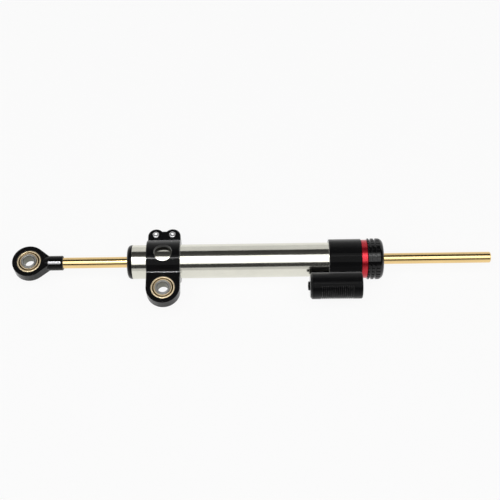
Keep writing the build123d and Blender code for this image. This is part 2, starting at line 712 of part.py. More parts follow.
# Rod right through the damper, with a stud for the eye and grooves for the piston's rings
clip_floor = rod_r - CLIP_GROOVE
left_clip_end = piston_x - PLAY
left_clip_x = left_clip_end - PISTON_CLIP
right_clip_x = piston_end + PLAY
with BuildPart() as rod:
    turned(
        (rod_x, 0),
        (rod_x, STUD_DIA / 2 - ROD_CHAMFER),
        (rod_x + ROD_CHAMFER, STUD_DIA / 2),
        (neck_end, STUD_DIA / 2),
        (neck_end, rod_r),
        (rod_end - ROD_CHAMFER, rod_r),
        (rod_end, rod_r - ROD_CHAMFER),
        (rod_end, 0),
    )
    for groove_x in (left_clip_x, right_clip_x):
        ring(groove_x, groove_x + PISTON_CLIP, clip_floor, rod_r + OVERRUN, mode=Mode.SUBTRACT)
rod.part.label = "rod"
export_step(rod.part, "parts/rod.step")

with BuildPart() as piston_clips:
    open_ring(left_clip_x, PISTON_CLIP, clip_floor, clip_r)
    open_ring(right_clip_x, PISTON_CLIP, clip_floor, clip_r)
piston_clips.part.label = "piston_clips"
export_step(piston_clips.part, "parts/piston_clips.step")

# Races and balls of both bearings
EYE = upright(eye_x, lug_offset, -LUG_RISE)
LUG = upright(0, 0, 0)
seat_r = ball_r + RUN
stake_r = race_r - STAKE_INSET
for place, plane in (("clamp", LUG), ("rod_eye", EYE)):
    up = Axis(plane.origin, (0, 0, 1))
    with BuildPart() as race:
        with BuildSketch(plane) as section:
            with BuildLine():
                Polyline(
                    (0, -race_half),
                    (race_r - RACE_CHAMFER, -race_half),
                    (race_r, -race_half + RACE_CHAMFER),
                    (race_r, race_half - RACE_CHAMFER),
                    (race_r - RACE_CHAMFER, race_half),
                    (0, race_half),
                    close=True,
                )
            make_face()
            for side in (-1, 1):
                with BuildLine():
                    Polyline(
                        (stake_r - STAKE_WIDTH / 2, side * race_half),
                        (stake_r, side * (race_half - STAKE_DEPTH)),
                        (stake_r + STAKE_WIDTH / 2, side * race_half),
                        close=True,
                    )
                make_face(mode=Mode.SUBTRACT)
        revolve(section.sketch, axis=up)
        with Locations(plane.origin):
            Sphere(seat_r, mode=Mode.SUBTRACT)
    race.part.label = f"{place}_race"
    export_step(race.part, f"parts/{place}_race.step")
    with BuildPart() as ball:
        with BuildSketch(plane) as section:
            with BuildLine():
                Polyline(
                    (ball_face_r, -ball_half),
                    (bore_r + BALL_CHAMFER, -ball_half),
                    (bore_r, -ball_half + BALL_CHAMFER),
                    (bore_r, ball_half - BALL_CHAMFER),
                    (bore_r + BALL_CHAMFER, ball_half),
                    (ball_face_r, ball_half),
                )
                ThreePointArc((ball_face_r, ball_half), (ball_r, 0), (ball_face_r, -ball_half))
            make_face()
        revolve(section.sketch, axis=up)
    ball.part.label = f"{place}_ball"
    export_step(ball.part, f"parts/{place}_ball.step")


def race_seat(plane, half_thickness):
    """Housing bore for a race, with a lip under it and a lead-in at the top."""
    pocket_r = race_r + FIT
    with BuildSketch(plane) as section:
        with BuildLine():
            Polyline(
                (0, -half_thickness - OVERRUN),
                (race_r - RACE_LIP, -half_thickness - OVERRUN),
                (race_r - RACE_LIP, -race_half),
                (pocket_r, -race_half),
                (pocket_r, half_thickness - LEAD_IN),
                (pocket_r + LEAD_IN, half_thickness),
                (pocket_r + LEAD_IN, half_thickness + OVERRUN),
                (0, half_thickness + OVERRUN),
                close=True,
            )
        make_face()
    revolve(section.sketch, axis=Axis(plane.origin, (0, 0, 1)), mode=Mode.SUBTRACT)


# Rod eye: a disc for the bearing, shoulders and a round neck bored for the rod's stud
neck_r = NECK_DIA / 2
shoulder_end = eye_r + SHOULDER_REACH
shoulder_half = eye_half - EYE_CHAMFER / 2
shoulder_x = eye_r * cos(radians(SHOULDER_START))
shoulder_y = eye_r * sin(radians(SHOULDER_START))
cone_x = eye_x + race_r + RACE_LIP
with BuildPart() as rod_eye:
    with BuildSketch(EYE) as section:
        with BuildLine():
            Polyline(
                (0, -eye_half),
                (eye_r - EYE_CHAMFER, -eye_half),
                (eye_r, -eye_half + EYE_CHAMFER),
                (eye_r, eye_half - EYE_CHAMFER),
                (eye_r - EYE_CHAMFER, eye_half),
                (0, eye_half),
                close=True,
            )
        make_face()
    revolve(section.sketch, axis=Axis(EYE.origin, (0, 0, 1)))
    with BuildSketch(Plane(EYE.origin)) as shoulders:
        with BuildLine():
            Polyline(
                (0, -shoulder_y),
                (shoulder_x, -shoulder_y),
                (shoulder_end, -SHOULDER_END_WIDTH / 2),
                (shoulder_end, SHOULDER_END_WIDTH / 2),
                (shoulder_x, shoulder_y),
                (0, shoulder_y),
                close=True,
            )
        make_face()
    extrude(shoulders.sketch, amount=shoulder_half, both=True)
    turned(
        (cone_x, 0),
        (cone_x, shoulder_half),
        (cone_x + NECK_CONE, neck_r),
        (neck_end - NECK_CHAMFER, neck_r),
        (neck_end, neck_r - NECK_CHAMFER),
        (neck_end, 0),
    )
    race_seat(EYE, eye_half)
    ring(rod_x, neck_end + OVERRUN, 0, STUD_DIA / 2 + FIT, mode=Mode.SUBTRACT)
rod_eye.part.label = "rod_eye"
export_step(rod_eye.part, "parts/rod_eye.step")

# Clamp: a split ring round the tube, a lug for the bearing and two screw ears
ear_top = EAR_THICKNESS / 2
ear_places = [(-ear_spacing / 2, ear_reach), (ear_spacing / 2, ear_reach)]
with BuildPart() as lug_blank:
    with BuildSketch(Plane.XY.offset(-lug_half)) as lug_outline:
        Circle(clamp_half)
        Rectangle(CLAMP_WIDTH, lug_offset, align=(Align.CENTER, Align.MIN))
    extrude(lug_outline.sketch, amount=2 * lug_half)
    chamfer(lug_blank.edges().group_by(Axis.Z)[0] + lug_blank.edges().group_by(Axis.Z)[-1], CLAMP_CHAMFER)

with BuildPart() as ear_blank:
    with BuildSketch(DAMPER.offset(-ear_top)) as ear_outline:
        with Locations(*ear_places):
            Circle(EAR_RADIUS)
        Rectangle(ear_spacing + 2 * EAR_RADIUS, ear_reach, align=(Align.CENTER, Align.MIN))
        Rectangle(
            ear_spacing, ear_reach + EAR_RADIUS - EAR_VALLEY, align=(Align.CENTER, Align.MIN)
        )
    extrude(ear_outline.sketch, amount=EAR_THICKNESS)
    chamfer(ear_blank.edges().group_by(Axis.Z)[0] + ear_blank.edges().group_by(Axis.Z)[-1], EAR_CHAMFER)

with BuildPart() as clamp_body:
    add(lug_blank.part)
    add(ear_blank.part)
    turned(
        (-clamp_half, 0),
        (-clamp_half, clamp_r - CLAMP_CHAMFER),
        (-clamp_half + CLAMP_CHAMFER, clamp_r),
        (clamp_half - CLAMP_CHAMFER, clamp_r),
        (clamp_half, clamp_r - CLAMP_CHAMFER),
        (clamp_half, 0),
    )
    ring(-clamp_half - OVERRUN, clamp_half + OVERRUN, 0, tube_r + RUN, mode=Mode.SUBTRACT)
    with BuildSketch(DAMPER) as slit:
        Rectangle(
            CLAMP_WIDTH + OVERRUN, ear_reach + EAR_RADIUS + OVERRUN, align=(Align.CENTER, Align.MIN)
        )
    extrude(slit.sketch, amount=SLIT / 2, both=True, mode=Mode.SUBTRACT)
    with BuildSketch(DAMPER) as window:
        Circle(WINDOW_DIA / 2)
    extrude(window.sketch, amount=clamp_r + OVERRUN, mode=Mode.SUBTRACT)
    with BuildSketch(DAMPER.offset(-ear_top)) as screw_ways:
        with Locations(*ear_places):
            Circle(SCREW_DIA / 2 + FIT)
    extrude(screw_ways.sketch, amount=EAR_THICKNESS, mode=Mode.SUBTRACT)
    race_seat(LUG, lug_half)
clamp_body.part.label = "clamp_body"
export_step(clamp_body.part, "parts/clamp_body.step")

with BuildPart() as clamp_screws:
    with BuildSketch(DAMPER.offset(ear_top)) as heads:
        with Locations(*ear_places):
            Circle(SCREW_HEAD_DIA / 2)
    extrude(heads.sketch, amount=SCREW_HEAD_HEIGHT)
    chamfer(clamp_screws.edges().group_by(Axis.Z)[-1], SCREW_HEAD_CHAMFER)
    with BuildSketch(DAMPER.offset(ear_top)) as shanks:
        with Locations(*ear_places):
            Circle(SCREW_DIA / 2)
    extrude(shanks.sketch, amount=-SCREW_LENGTH)
    with BuildSketch(DAMPER.offset(ear_top + SCREW_HEAD_HEIGHT)) as keys:
        with Locations(*ear_places):
            RegularPolygon(SCREW_KEY / 2, 6, major_radius=False)
    extrude(keys.sketch, amount=-SCREW_KEY_DEPTH, mode=Mode.SUBTRACT)
clamp_screws.part.label = "clamp_screws"
export_step(clamp_screws.part, "parts/clamp_screws.step")
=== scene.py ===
"""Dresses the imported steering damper: turned surfaces, finishes, studio light and camera.

Shapes are worked out in millimetres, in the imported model's own frame, and become metres when they
are put into a mesh. X runs along the damper towards the knob and Z along the bearing bores.
"""

import json
import logging
import math
from dataclasses import dataclass, replace
from enum import Enum
from typing import Any, Callable, Sequence, Union

import bmesh
import bpy
import numpy as np
from mathutils import Matrix, Vector

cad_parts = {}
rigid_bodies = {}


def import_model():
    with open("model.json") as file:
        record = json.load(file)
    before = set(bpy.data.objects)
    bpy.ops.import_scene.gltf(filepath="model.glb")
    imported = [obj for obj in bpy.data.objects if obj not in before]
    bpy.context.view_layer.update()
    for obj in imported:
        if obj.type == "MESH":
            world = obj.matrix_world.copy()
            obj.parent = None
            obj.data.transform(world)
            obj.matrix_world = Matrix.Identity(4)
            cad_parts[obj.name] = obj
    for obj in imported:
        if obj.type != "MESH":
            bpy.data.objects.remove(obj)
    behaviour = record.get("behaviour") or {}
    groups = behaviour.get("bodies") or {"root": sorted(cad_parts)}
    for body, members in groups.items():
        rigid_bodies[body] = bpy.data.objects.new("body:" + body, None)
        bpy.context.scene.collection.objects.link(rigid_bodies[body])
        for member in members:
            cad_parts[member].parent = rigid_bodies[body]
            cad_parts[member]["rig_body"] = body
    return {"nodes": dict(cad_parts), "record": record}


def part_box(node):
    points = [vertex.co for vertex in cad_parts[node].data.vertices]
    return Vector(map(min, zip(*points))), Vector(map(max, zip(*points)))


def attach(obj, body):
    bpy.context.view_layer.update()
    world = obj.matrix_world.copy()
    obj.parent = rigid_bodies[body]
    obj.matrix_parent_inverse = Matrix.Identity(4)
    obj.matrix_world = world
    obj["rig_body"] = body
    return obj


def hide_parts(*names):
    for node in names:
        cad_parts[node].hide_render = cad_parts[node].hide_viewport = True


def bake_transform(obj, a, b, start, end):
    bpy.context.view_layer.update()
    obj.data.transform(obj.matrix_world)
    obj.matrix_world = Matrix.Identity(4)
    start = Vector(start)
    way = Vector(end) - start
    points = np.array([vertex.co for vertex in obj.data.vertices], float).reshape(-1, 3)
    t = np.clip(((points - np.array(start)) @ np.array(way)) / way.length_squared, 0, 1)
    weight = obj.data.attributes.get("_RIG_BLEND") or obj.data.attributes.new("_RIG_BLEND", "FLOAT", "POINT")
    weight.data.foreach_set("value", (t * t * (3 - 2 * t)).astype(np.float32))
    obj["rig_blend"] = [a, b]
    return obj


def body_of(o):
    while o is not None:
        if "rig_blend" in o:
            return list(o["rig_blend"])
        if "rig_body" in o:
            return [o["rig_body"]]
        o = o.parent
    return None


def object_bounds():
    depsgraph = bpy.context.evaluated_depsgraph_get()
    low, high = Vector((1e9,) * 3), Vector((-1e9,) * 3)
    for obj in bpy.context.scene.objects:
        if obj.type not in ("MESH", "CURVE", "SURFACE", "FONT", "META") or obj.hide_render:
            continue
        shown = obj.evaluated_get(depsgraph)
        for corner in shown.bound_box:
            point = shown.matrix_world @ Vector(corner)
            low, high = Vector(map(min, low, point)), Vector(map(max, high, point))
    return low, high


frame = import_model()
CAD_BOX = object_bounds()

log = logging.getLogger("steering_damper")

MM = 0.001
TURN = 2.0 * math.pi
SAME_PLACE = 1e-6  # metres, within which two points of a mesh are one
SHARP = math.radians(34.0)
ARC_STEPS = 6
SUPPORT_SHARE = 0.12  # how far outside an arc its support point stands, in roundings
AROUND = 144  # columns round a turned piece
RUN_MARK = "run"  # attribute: how far along its outline a point lies, in millimetres
SHADE_MARK = "second"  # attribute: 1 on rows that get their finish's painted shade
SQUARE = 0.12  # how far a round surface's triangle may lean out of the plane of its axis
STRAIGHT = 0.03  # millimetres by which its corners may miss the straight outline
NECK_MIDDLE = math.radians(65.7)  # over the top, from the front horizon to the middle of the neck's painted highlight stripe
NECK_HALF_ANGLE = math.radians(10.5)
NECK_HIGHLIGHT_ENDS = (10.8, 1.2)  # where the painted highlight stripe starts and ends, in millimetres before the neck's end
NECK_SOFT = (0.0025, 0.25)  # how softly its sides fade, as a cosine, and its ends, in millimetres
LUG_HALF = 4.4  # half of the clamp's lug's height
CREASE_HEIGHT = 0.55  # how far the painted highlight line over the lug reaches up the clamp's ring
CREASE_SOFT = 0.125  # how softly it fades at its foot and its top
CREASE_MISS = 0.025  # square of the distance from the ring's outside at which it fades there
DARK_SHARE = 0.88  # a finish's darkest tint, as a share of its colour
TINT_STOPS = (0.3, 0.7)
PATCH_PITCH = (14.0, 11.0, 11.0)  # size of the patches in a finish's tint, in millimetres
PATCH_SHARE = 0.6  # how much of the tint they make, and the tool marks make the rest
DRAWN_LENGTH = 90.0  # length of a drawn line in pitches
RING_PITCH = 9.0  # how far turned rings run before they change, in millimetres
NOISE_ROUGHNESS = 0.55
LEAST_ROUGHNESS = 0.05
SHEEN_ROUGHNESS = 0.45
BEVEL_SAMPLES = 6
WHITE = (1.0, 1.0, 1.0, 1.0)

Colour = tuple[float, float, float]
Corner = tuple[float, float, float]  # along, out and rounding
Place = tuple[float, float, float]
Operand = Union["Value", float]


class Axis(Enum):
    """Direction of the line that a turned piece is round."""

    ALONG = "along the damper"
    UPRIGHT = "along the bearing bores"


class Slot(Enum):
    """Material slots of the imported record."""

    TUBE = "brushed_tube"
    ALUMINIUM = "machined_aluminium"
    BLACK = "black_anodised"
    RED = "red_anodised"
    ROD = "gold_rod"
    RACE = "race_gold"
    BALL = "ball_steel"
    SCREW = "screw_steel"
    SPRING = "spring_steel"
    BUSH = "bronze_bush"
    SEAL = "seal_rubber"
    BAND = "slide_band"


@dataclass(frozen=True)
class Extent:
    """Box round a CAD node at rest, in millimetres."""

    low: np.ndarray
    high: np.ndarray

    @classmethod
    def of(cls, node: str) -> "Extent":
        """Measures the CAD node of that name."""
        low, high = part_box(node)
        return cls(np.array(low) / MM, np.array(high) / MM)

    @property
    def middle(self) -> np.ndarray:
        """Centre of the box."""
        return (self.low + self.high) / 2

    @property
    def half_height(self) -> float:
        """Half of the box's height, which is the radius of a piece that is round about X."""
        return float(self.high[2] - self.low[2]) / 2


def arithmetic(operation: str, reflected: bool = False) -> Callable[["Value", Operand], "Value"]:
    """Makes one arithmetic method of the socket class.

    Args:
        operation: Name of the Math node's operation.
        reflected: Whether the other operand comes first, as in 1 - mask.

    Returns:
        The method.
    """

    def method(self: "Value", other: Operand) -> "Value":
        """Adds the Math node."""
        return self.math(operation, *((other, self) if reflected else (self, other)))

    return method


@dataclass(frozen=True)
class Value:
    """Output socket of a shader tree, with arithmetic that adds Math nodes to the tree."""

    tree: "Tree"
    socket: bpy.types.NodeSocket

    def math(self, operation: str, *operands: Operand) -> "Value":
        """Adds a Math node with its operands in order, and gives its result."""
        inputs = dict(enumerate(operands))
        return self.tree.node("ShaderNodeMath", {"operation": operation}, inputs)[0]

    __add__, __radd__ = arithmetic("ADD"), arithmetic("ADD", reflected=True)
    __sub__, __rsub__ = arithmetic("SUBTRACT"), arithmetic("SUBTRACT", reflected=True)
    __mul__, __rmul__ = arithmetic("MULTIPLY"), arithmetic("MULTIPLY", reflected=True)
    __truediv__, __rtruediv__ = arithmetic("DIVIDE"), arithmetic("DIVIDE", reflected=True)

    def root(self) -> "Value":
        """Takes the square root."""
        return self.math("SQRT", self)

    def clamped(self, low: float, high: float) -> "Value":
        """Keeps the value between two numbers."""
        return self.math("MINIMUM", self.math("MAXIMUM", self, low), high)

    def rise(self, start: float, width: float) -> "Value":
        """Goes from 0 at a start to 1 over a width."""
        return ((self - start) * (1.0 / width)).clamped(0.0, 1.0)


@dataclass(frozen=True)
class Node:
    """Node of a shader tree, whose outputs are found by name or number."""

    tree: "Tree"
    node: bpy.types.Node

    def __getitem__(self, output: str | int) -> Value:
        """Finds an output."""
        return Value(self.tree, self.node.outputs[output])


class Tree:
    """Shader tree of one material."""

    def __init__(self, name: str) -> None:
        """Makes an empty material and its tree."""
        self.material = bpy.data.materials.new(name)
        self.material.use_nodes = True
        self.nodes = self.material.node_tree.nodes
        self.links = self.material.node_tree.links
        self.nodes.clear()

    def node(self, kind: str, settings: dict[str, Any], inputs: dict[str | int, Any]) -> Node:
        """Makes a node.

        Args:
            kind: Type of the node.
            settings: Its own settings, where stops are a ramp's (place, colour) pairs.
            inputs: A link or a plain value for each socket, by name or number.

        Returns:
            The node.
        """
        made = self.nodes.new(kind)
        for key, setting in settings.items():
            if key == "stops":
                self.set_stops(made.color_ramp, setting)
            else:
                setattr(made, key, setting)
        for key, given in inputs.items():
            if isinstance(given, Value):
                self.links.new(given.socket, made.inputs[key])
            else:
                made.inputs[key].default_value = given
        return Node(self, made)

    @staticmethod
    def set_stops(ramp: bpy.types.ColorRamp, stops: Sequence[tuple[float, Colour]]) -> None:
        """Gives a ramp its stops.

        Args:
            ramp: The ramp of a new node.
            stops: (place, colour) pairs in order.
        """
        while len(ramp.elements) < len(stops):
            ramp.elements.new(1.0)
        for element, (place, colour) in zip(ramp.elements, stops):
            element.position = place
            element.color = (*colour, 1.0)

    def noise(self, vector: Value, detail: float = 2.0) -> Value:
        """Adds soft noise.

        Args:
            vector: Where it is read, one wave to each unit.
            detail: How many finer waves are added.

        Returns:
            The noise, from 0 to 1.
        """
        settings = {"noise_dimensions": "3D"}
        inputs = {"Vector": vector, "Scale": 1.0, "Detail": detail, "Roughness": NOISE_ROUGHNESS}
        return self.node("ShaderNodeTexNoise", settings, inputs)[0]

    def stretched(self, pitch: Sequence[float]) -> Value:
        """Measures the object coordinates in pitches.

        Args:
            pitch: Length of one unit along X, Y and Z, in millimetres.

        Returns:
            The coordinates.
        """
        place = self.node("ShaderNodeTexCoord", {}, {})["Object"]
        scale = tuple(1.0 / (length * MM) for length in pitch)
        return self.node("ShaderNodeMapping", {}, {"Vector": place, "Scale": scale})[0]

    def tint(self, share: Value, colour: Colour, dark: float, places: tuple[float, float]) -> Value:
        """Ramp from a share of a colour at the first place to the full colour at the second."""
        stops = zip(places, (tuple(dark * part for part in colour), colour))
        return self.node("ShaderNodeValToRGB", {"stops": tuple(stops)}, {0: share})["Color"]

    def mark(self, name: str) -> Value:
        """Attribute of the piece's points."""
        return self.node("ShaderNodeAttribute", {"attribute_name": name}, {})["Fac"]

    def place(self, pitch: float = 1.0) -> Node:
        """Object coordinates one by one, measured in pitches of so many millimetres."""
        return self.node("ShaderNodeSeparateXYZ", {}, {0: self.stretched((pitch,) * 3)})

    def output(self, surface: Value) -> None:
        """Links a shader to the material's output."""
        self.node("ShaderNodeOutputMaterial", {}, {"Surface": surface})


class Marks(Enum):
    """Marks that the last step of making left on a surface."""

    TURNED = "fine rings, one beside the other along the outline"
    DRAWN = "fine lines along the damper"
    BLASTED = "fine grain in all directions"
    MOULDED = "soft ripples"


class Area(Enum):
    """Part of a piece where light or shade is painted in a second colour."""

    # painted shade: darker rows in the races' stake grooves and the balls' bores
    SHADED_ROWS = "rows of a turned piece that carry the second mark"
    # painted highlight: a stripe of bare metal colour along the neck's top, not cut into its shape
    NECK = "flat along the top of the rod eye's neck"
    # painted highlight: a bright metal line at the foot of the clamp's ring
    CREASE = "foot of the clamp's ring, just over its lug"


@dataclass(frozen=True)
class PaintedLight:
    """Light or shade painted on an area of a piece, as a second colour, metalness and roughness.

    Attributes:
        area: Where it shows.
        colour: Its colour.
        metallic: 1 for bare metal.
        roughness: How widely it spreads a reflection.
    """

    area: Area
    colour: Colour
    metallic: float
    roughness: float


@dataclass(frozen=True)
class Finish:
    """Surface of a metal, rubber or plastic piece.

    Attributes:
        name: Name of the material.
        colour: Its colour.
        metallic: 1 for bare metal.
        roughness: How widely it spreads a reflection.
        marks: Kind of its tool marks.
        pitch: Size of the marks in millimetres.
        depth: Depth of the marks in millimetres.
        unevenness: How far the roughness wanders.
        edge: Radius in millimetres to which its edges look broken, or 0.
        coat: Weight of a clear layer.
        coat_roughness: Roughness of that layer.
        reflectance: Specular level of a surface that isn't bare metal.
        sheen: Weight of the pale shine that a fine grain has when it is seen along the surface.
        second: Light or shade painted on a part of the piece, or None.
    """

    name: str
    colour: Colour
    metallic: float
    roughness: float
    marks: Marks
    pitch: float
    depth: float
    unevenness: float = 0.06
    edge: float = 0.0
    coat: float = 0.0
    coat_roughness: float = 0.1
    reflectance: float = 0.5
    sheen: float = 0.0
    second: PaintedLight | None = None

    def grain(self, tree: Tree) -> Value:
        """Tool marks as a height from 0 to 1.

        Rings are noise of the outline's run alone, lines are noise that is stretched along X, and
        grain and ripples are even noise.

        Args:
            tree: Tree to add the nodes to.

        Returns:
            The height.
        """
        if self.marks is Marks.TURNED:
            slow = tree.place(RING_PITCH)
            inputs = {0: tree.mark(RUN_MARK) / self.pitch, 1: slow["Y"], 2: slow["Z"]}
            return tree.noise(tree.node("ShaderNodeCombineXYZ", {}, inputs)[0], 3.0)
        if self.marks is Marks.DRAWN:
            return tree.noise(tree.stretched((self.pitch * DRAWN_LENGTH, self.pitch, self.pitch)), 3.0)
        detail = 4.0 if self.marks is Marks.BLASTED else 1.0
        return tree.noise(tree.stretched((self.pitch,) * 3), detail)

    def painted_share(self, tree: Tree, area: Area) -> Value:
        """Share of the painted light or shade, 1 inside its area.

        The neck's painted highlight is where the direction from the damper's axis lies within a half angle
        of the stripe's middle, between two stations along the damper. The crease's painted highlight is a
        strip of the ring's outside between two heights, on the front.

        Args:
            tree: Tree to add the nodes to.
            area: Where the second surface shows.

        Returns:
            The share, from 0 to 1.
        """
        if area is Area.SHADED_ROWS:
            return tree.mark(SHADE_MARK)
        place = tree.place()
        tube = Extent.of("outer_tube").middle
        across, up = place["Y"] - float(tube[1]), place["Z"] - float(tube[2])
        out = (across * across + up * up).root()
        if area is Area.CREASE:
            foot = float(Extent.of("clamp_race").middle[2]) + LUG_HALF
            above = place["Z"].rise(foot - CREASE_SOFT, CREASE_SOFT)
            past = place["Z"].rise(foot + CREASE_HEIGHT - CREASE_SOFT, CREASE_SOFT)
            miss = out - float(Extent.of("clamp_body").high[2] - tube[2])
            off_ring = (miss * miss).rise(CREASE_MISS, 2 * CREASE_MISS)
            return above * (1.0 - past) * (1.0 - off_ring) * (0.0 - across).rise(0.0, 1.0)
        side_soft, end_soft = NECK_SOFT
        facing = (up * math.sin(NECK_MIDDLE) - across * math.cos(NECK_MIDDLE)) / out
        band = facing.rise(math.cos(NECK_HALF_ANGLE), side_soft)
        start, end = (float(Extent.of("rod_eye").high[0]) - back for back in NECK_HIGHLIGHT_ENDS)
        past = place["X"].rise(end - end_soft, end_soft)
        return band * place["X"].rise(start, end_soft) * (1.0 - past)

    def material(self) -> bpy.types.Material:
        """Makes the material once and gives the same one after that.

        Returns:
            The material.
        """
        known = bpy.data.materials.get(self.name)
        if known is not None:
            return known
        tree = Tree(self.name)
        grain = self.grain(tree)
        patches = tree.noise(tree.stretched(PATCH_PITCH), 4.0)
        blend = patches * PATCH_SHARE + grain * (1.0 - PATCH_SHARE)
        tint = tree.tint(blend, self.colour, DARK_SHARE, TINT_STOPS)
        uneven = (patches - 0.5) * (2 * self.unevenness) + (grain - 0.5) * self.unevenness
        bump: dict[str | int, Any] = {"Height": grain, "Strength": 1.0, "Distance": self.depth * MM}
        if self.edge > 0:
            samples = {"samples": BEVEL_SAMPLES}
            soft_edge = tree.node("ShaderNodeBevel", samples, {"Radius": self.edge * MM})
            bump["Normal"] = soft_edge[0]
        roughness: Operand = self.roughness
        metallic: Operand = self.metallic
        # painted light or shade: the second colour, metalness and roughness are mixed in over its area
        if self.second is not None:
            share = self.painted_share(tree, self.second.area)
            colours = {0: share, 6: tint, 7: (*self.second.colour, 1.0)}
            tint = tree.node("ShaderNodeMix", {"data_type": "RGBA"}, colours)[2]
            roughness = share * (self.second.roughness - self.roughness) + self.roughness
            metallic = share * (self.second.metallic - self.metallic) + self.metallic
        shader = tree.node(
            "ShaderNodeBsdfPrincipled",
            {},
            {
                "Base Color": tint,
                "Metallic": metallic,
                "Roughness": (uneven + roughness).clamped(LEAST_ROUGHNESS, 1.0),
                "Normal": tree.node("ShaderNodeBump", {}, bump)["Normal"],
                "Specular IOR Level": self.reflectance,
                "Coat Weight": self.coat,
                "Coat Roughness": self.coat_roughness,
                "Sheen Weight": self.sheen,
                "Sheen Roughness": SHEEN_ROUGHNESS,
            },
        )["BSDF"]
        tree.output(shader)
        return tree.material


# name, colour, metallic, roughness, marks, their pitch and depth
FINISHES: dict[Slot, Finish] = {
    Slot.TUBE: Finish(
        "polished_tube", (0.80, 0.79, 0.70), 1.0, 0.14, Marks.DRAWN, 0.12, 0.0003, unevenness=0.02
    ),
    Slot.ALUMINIUM: Finish("bare_aluminium", (0.74, 0.74, 0.75), 1.0, 0.32, Marks.BLASTED, 0.3, 0.002),
    Slot.BLACK: Finish(
        "black_anodised_aluminium", (0.0035, 0.0035, 0.004), 0.0, 0.1, Marks.BLASTED, 0.25, 0.0003,
        unevenness=0.03, edge=0.1, reflectance=0.05, sheen=0.52,
    ),
    Slot.RED: Finish(
        "red_anodised_aluminium", (0.60, 0.012, 0.028), 0.75, 0.27, Marks.TURNED, 0.12, 0.0008,
        coat=0.35, coat_roughness=0.16,
    ),
    Slot.ROD: Finish(
        "gold_coated_rod", (0.93, 0.67, 0.31), 1.0, 0.1, Marks.DRAWN, 0.1, 0.0001, unevenness=0.01
    ),
    Slot.RACE: Finish(
        "turned_gold_race", (0.97, 0.80, 0.53), 1.0, 0.45, Marks.TURNED, 0.1, 0.001,
        # painted shade: darker brown-gold on the rows near the stake grooves
        second=PaintedLight(Area.SHADED_ROWS, (0.15, 0.10, 0.045), 1.0, 0.4),
    ),
    Slot.BALL: Finish(
        "ground_ball_steel", (0.66, 0.65, 0.63), 1.0, 0.35, Marks.TURNED, 0.08, 0.0006,
        # painted shade: darker steel on the ball's bore
        second=PaintedLight(Area.SHADED_ROWS, (0.16, 0.16, 0.13), 1.0, 0.38),
    ),
    Slot.SCREW: Finish("plated_screw_steel", (0.95, 0.95, 0.95), 1.0, 0.32, Marks.TURNED, 0.12, 0.001),
    Slot.SPRING: Finish("oiled_spring_steel", (0.45, 0.45, 0.47), 1.0, 0.3, Marks.DRAWN, 0.1, 0.001),
    Slot.BUSH: Finish("turned_bronze", (0.70, 0.50, 0.27), 1.0, 0.3, Marks.BLASTED, 0.3, 0.001),
    Slot.SEAL: Finish("seal_rubber", (0.02, 0.02, 0.021), 0.0, 0.55, Marks.MOULDED, 0.6, 0.006),
    Slot.BAND: Finish("bronze_filled_band", (0.50, 0.38, 0.22), 0.0, 0.5, Marks.BLASTED, 0.2, 0.002),
}
BLACK = FINISHES[Slot.BLACK]
# painted highlights: a bare metal stripe on the eye's neck and a bright metal line at the foot of the
# clamp's ring
NECK_PAINTED_HIGHLIGHT = PaintedLight(Area.NECK, (0.28, 0.28, 0.29), 1.0, 0.22)
CREASE_PAINTED_HIGHLIGHT = PaintedLight(Area.CREASE, (0.42, 0.42, 0.43), 1.0, 0.25)
EYE_FINISH = replace(BLACK, name="black_eye_with_painted_neck_highlight", second=NECK_PAINTED_HIGHLIGHT)
CLAMP_FINISH = replace(BLACK, name="black_clamp_with_painted_crease_highlight", second=CREASE_PAINTED_HIGHLIGHT)
KNOB_FINISH = replace(BLACK, name="black_glossy_knob", edge=0.06, reflectance=0.4, sheen=0.06)


def unit(vectors: np.ndarray) -> np.ndarray:
    """Scales each row of an array to length 1."""
    return vectors / np.linalg.norm(vectors, axis=-1, keepdims=True)


def rounded(corners: Sequence[Corner]) -> np.ndarray:
    """Rounds the corners of an outline.

    At each corner the arc touches both sides at rounding / tan(half the corner's angle) from it, and
    its points turn evenly about its centre. One more point stands on each side just outside the arc,
    so that the flat beside it is shaded flat.

    Args:
        corners: (along, out, rounding) of each corner, in order round the outline.

    Returns:
        The outline's points, two numbers each.
    """
    table = np.asarray(corners, dtype=float)
    place, rounding = table[:, :2], table[:, 2:]
    before = unit(np.roll(place, 1, axis=0) - place)
    after = unit(np.roll(place, -1, axis=0) - place)
    half = np.arccos(np.clip(np.sum(before * after, axis=1, keepdims=True), -1.0, 1.0)) / 2
    trim = rounding / np.tan(half)
    centre = place + unit(before + after) * rounding / np.sin(half)
    swing = math.pi - 2 * half
    share = np.linspace(0.0, 1.0, ARC_STEPS + 1)[:, None, None]
    arc = (
        centre
        + np.sin((1 - share) * swing) / np.sin(swing) * (place + before * trim - centre)
        + np.sin(share * swing) / np.sin(swing) * (place + after * trim - centre)
    )
    outside = trim + SUPPORT_SHARE * rounding
    lead, tail = (place + before * outside)[None], (place + after * outside)[None]
    loop = np.concatenate([lead, arc, tail]).transpose(1, 0, 2).reshape(-1, 2)
    apart = np.linalg.norm(loop - np.roll(loop, 1, axis=0), axis=1) > SAME_PLACE
    return loop[apart]


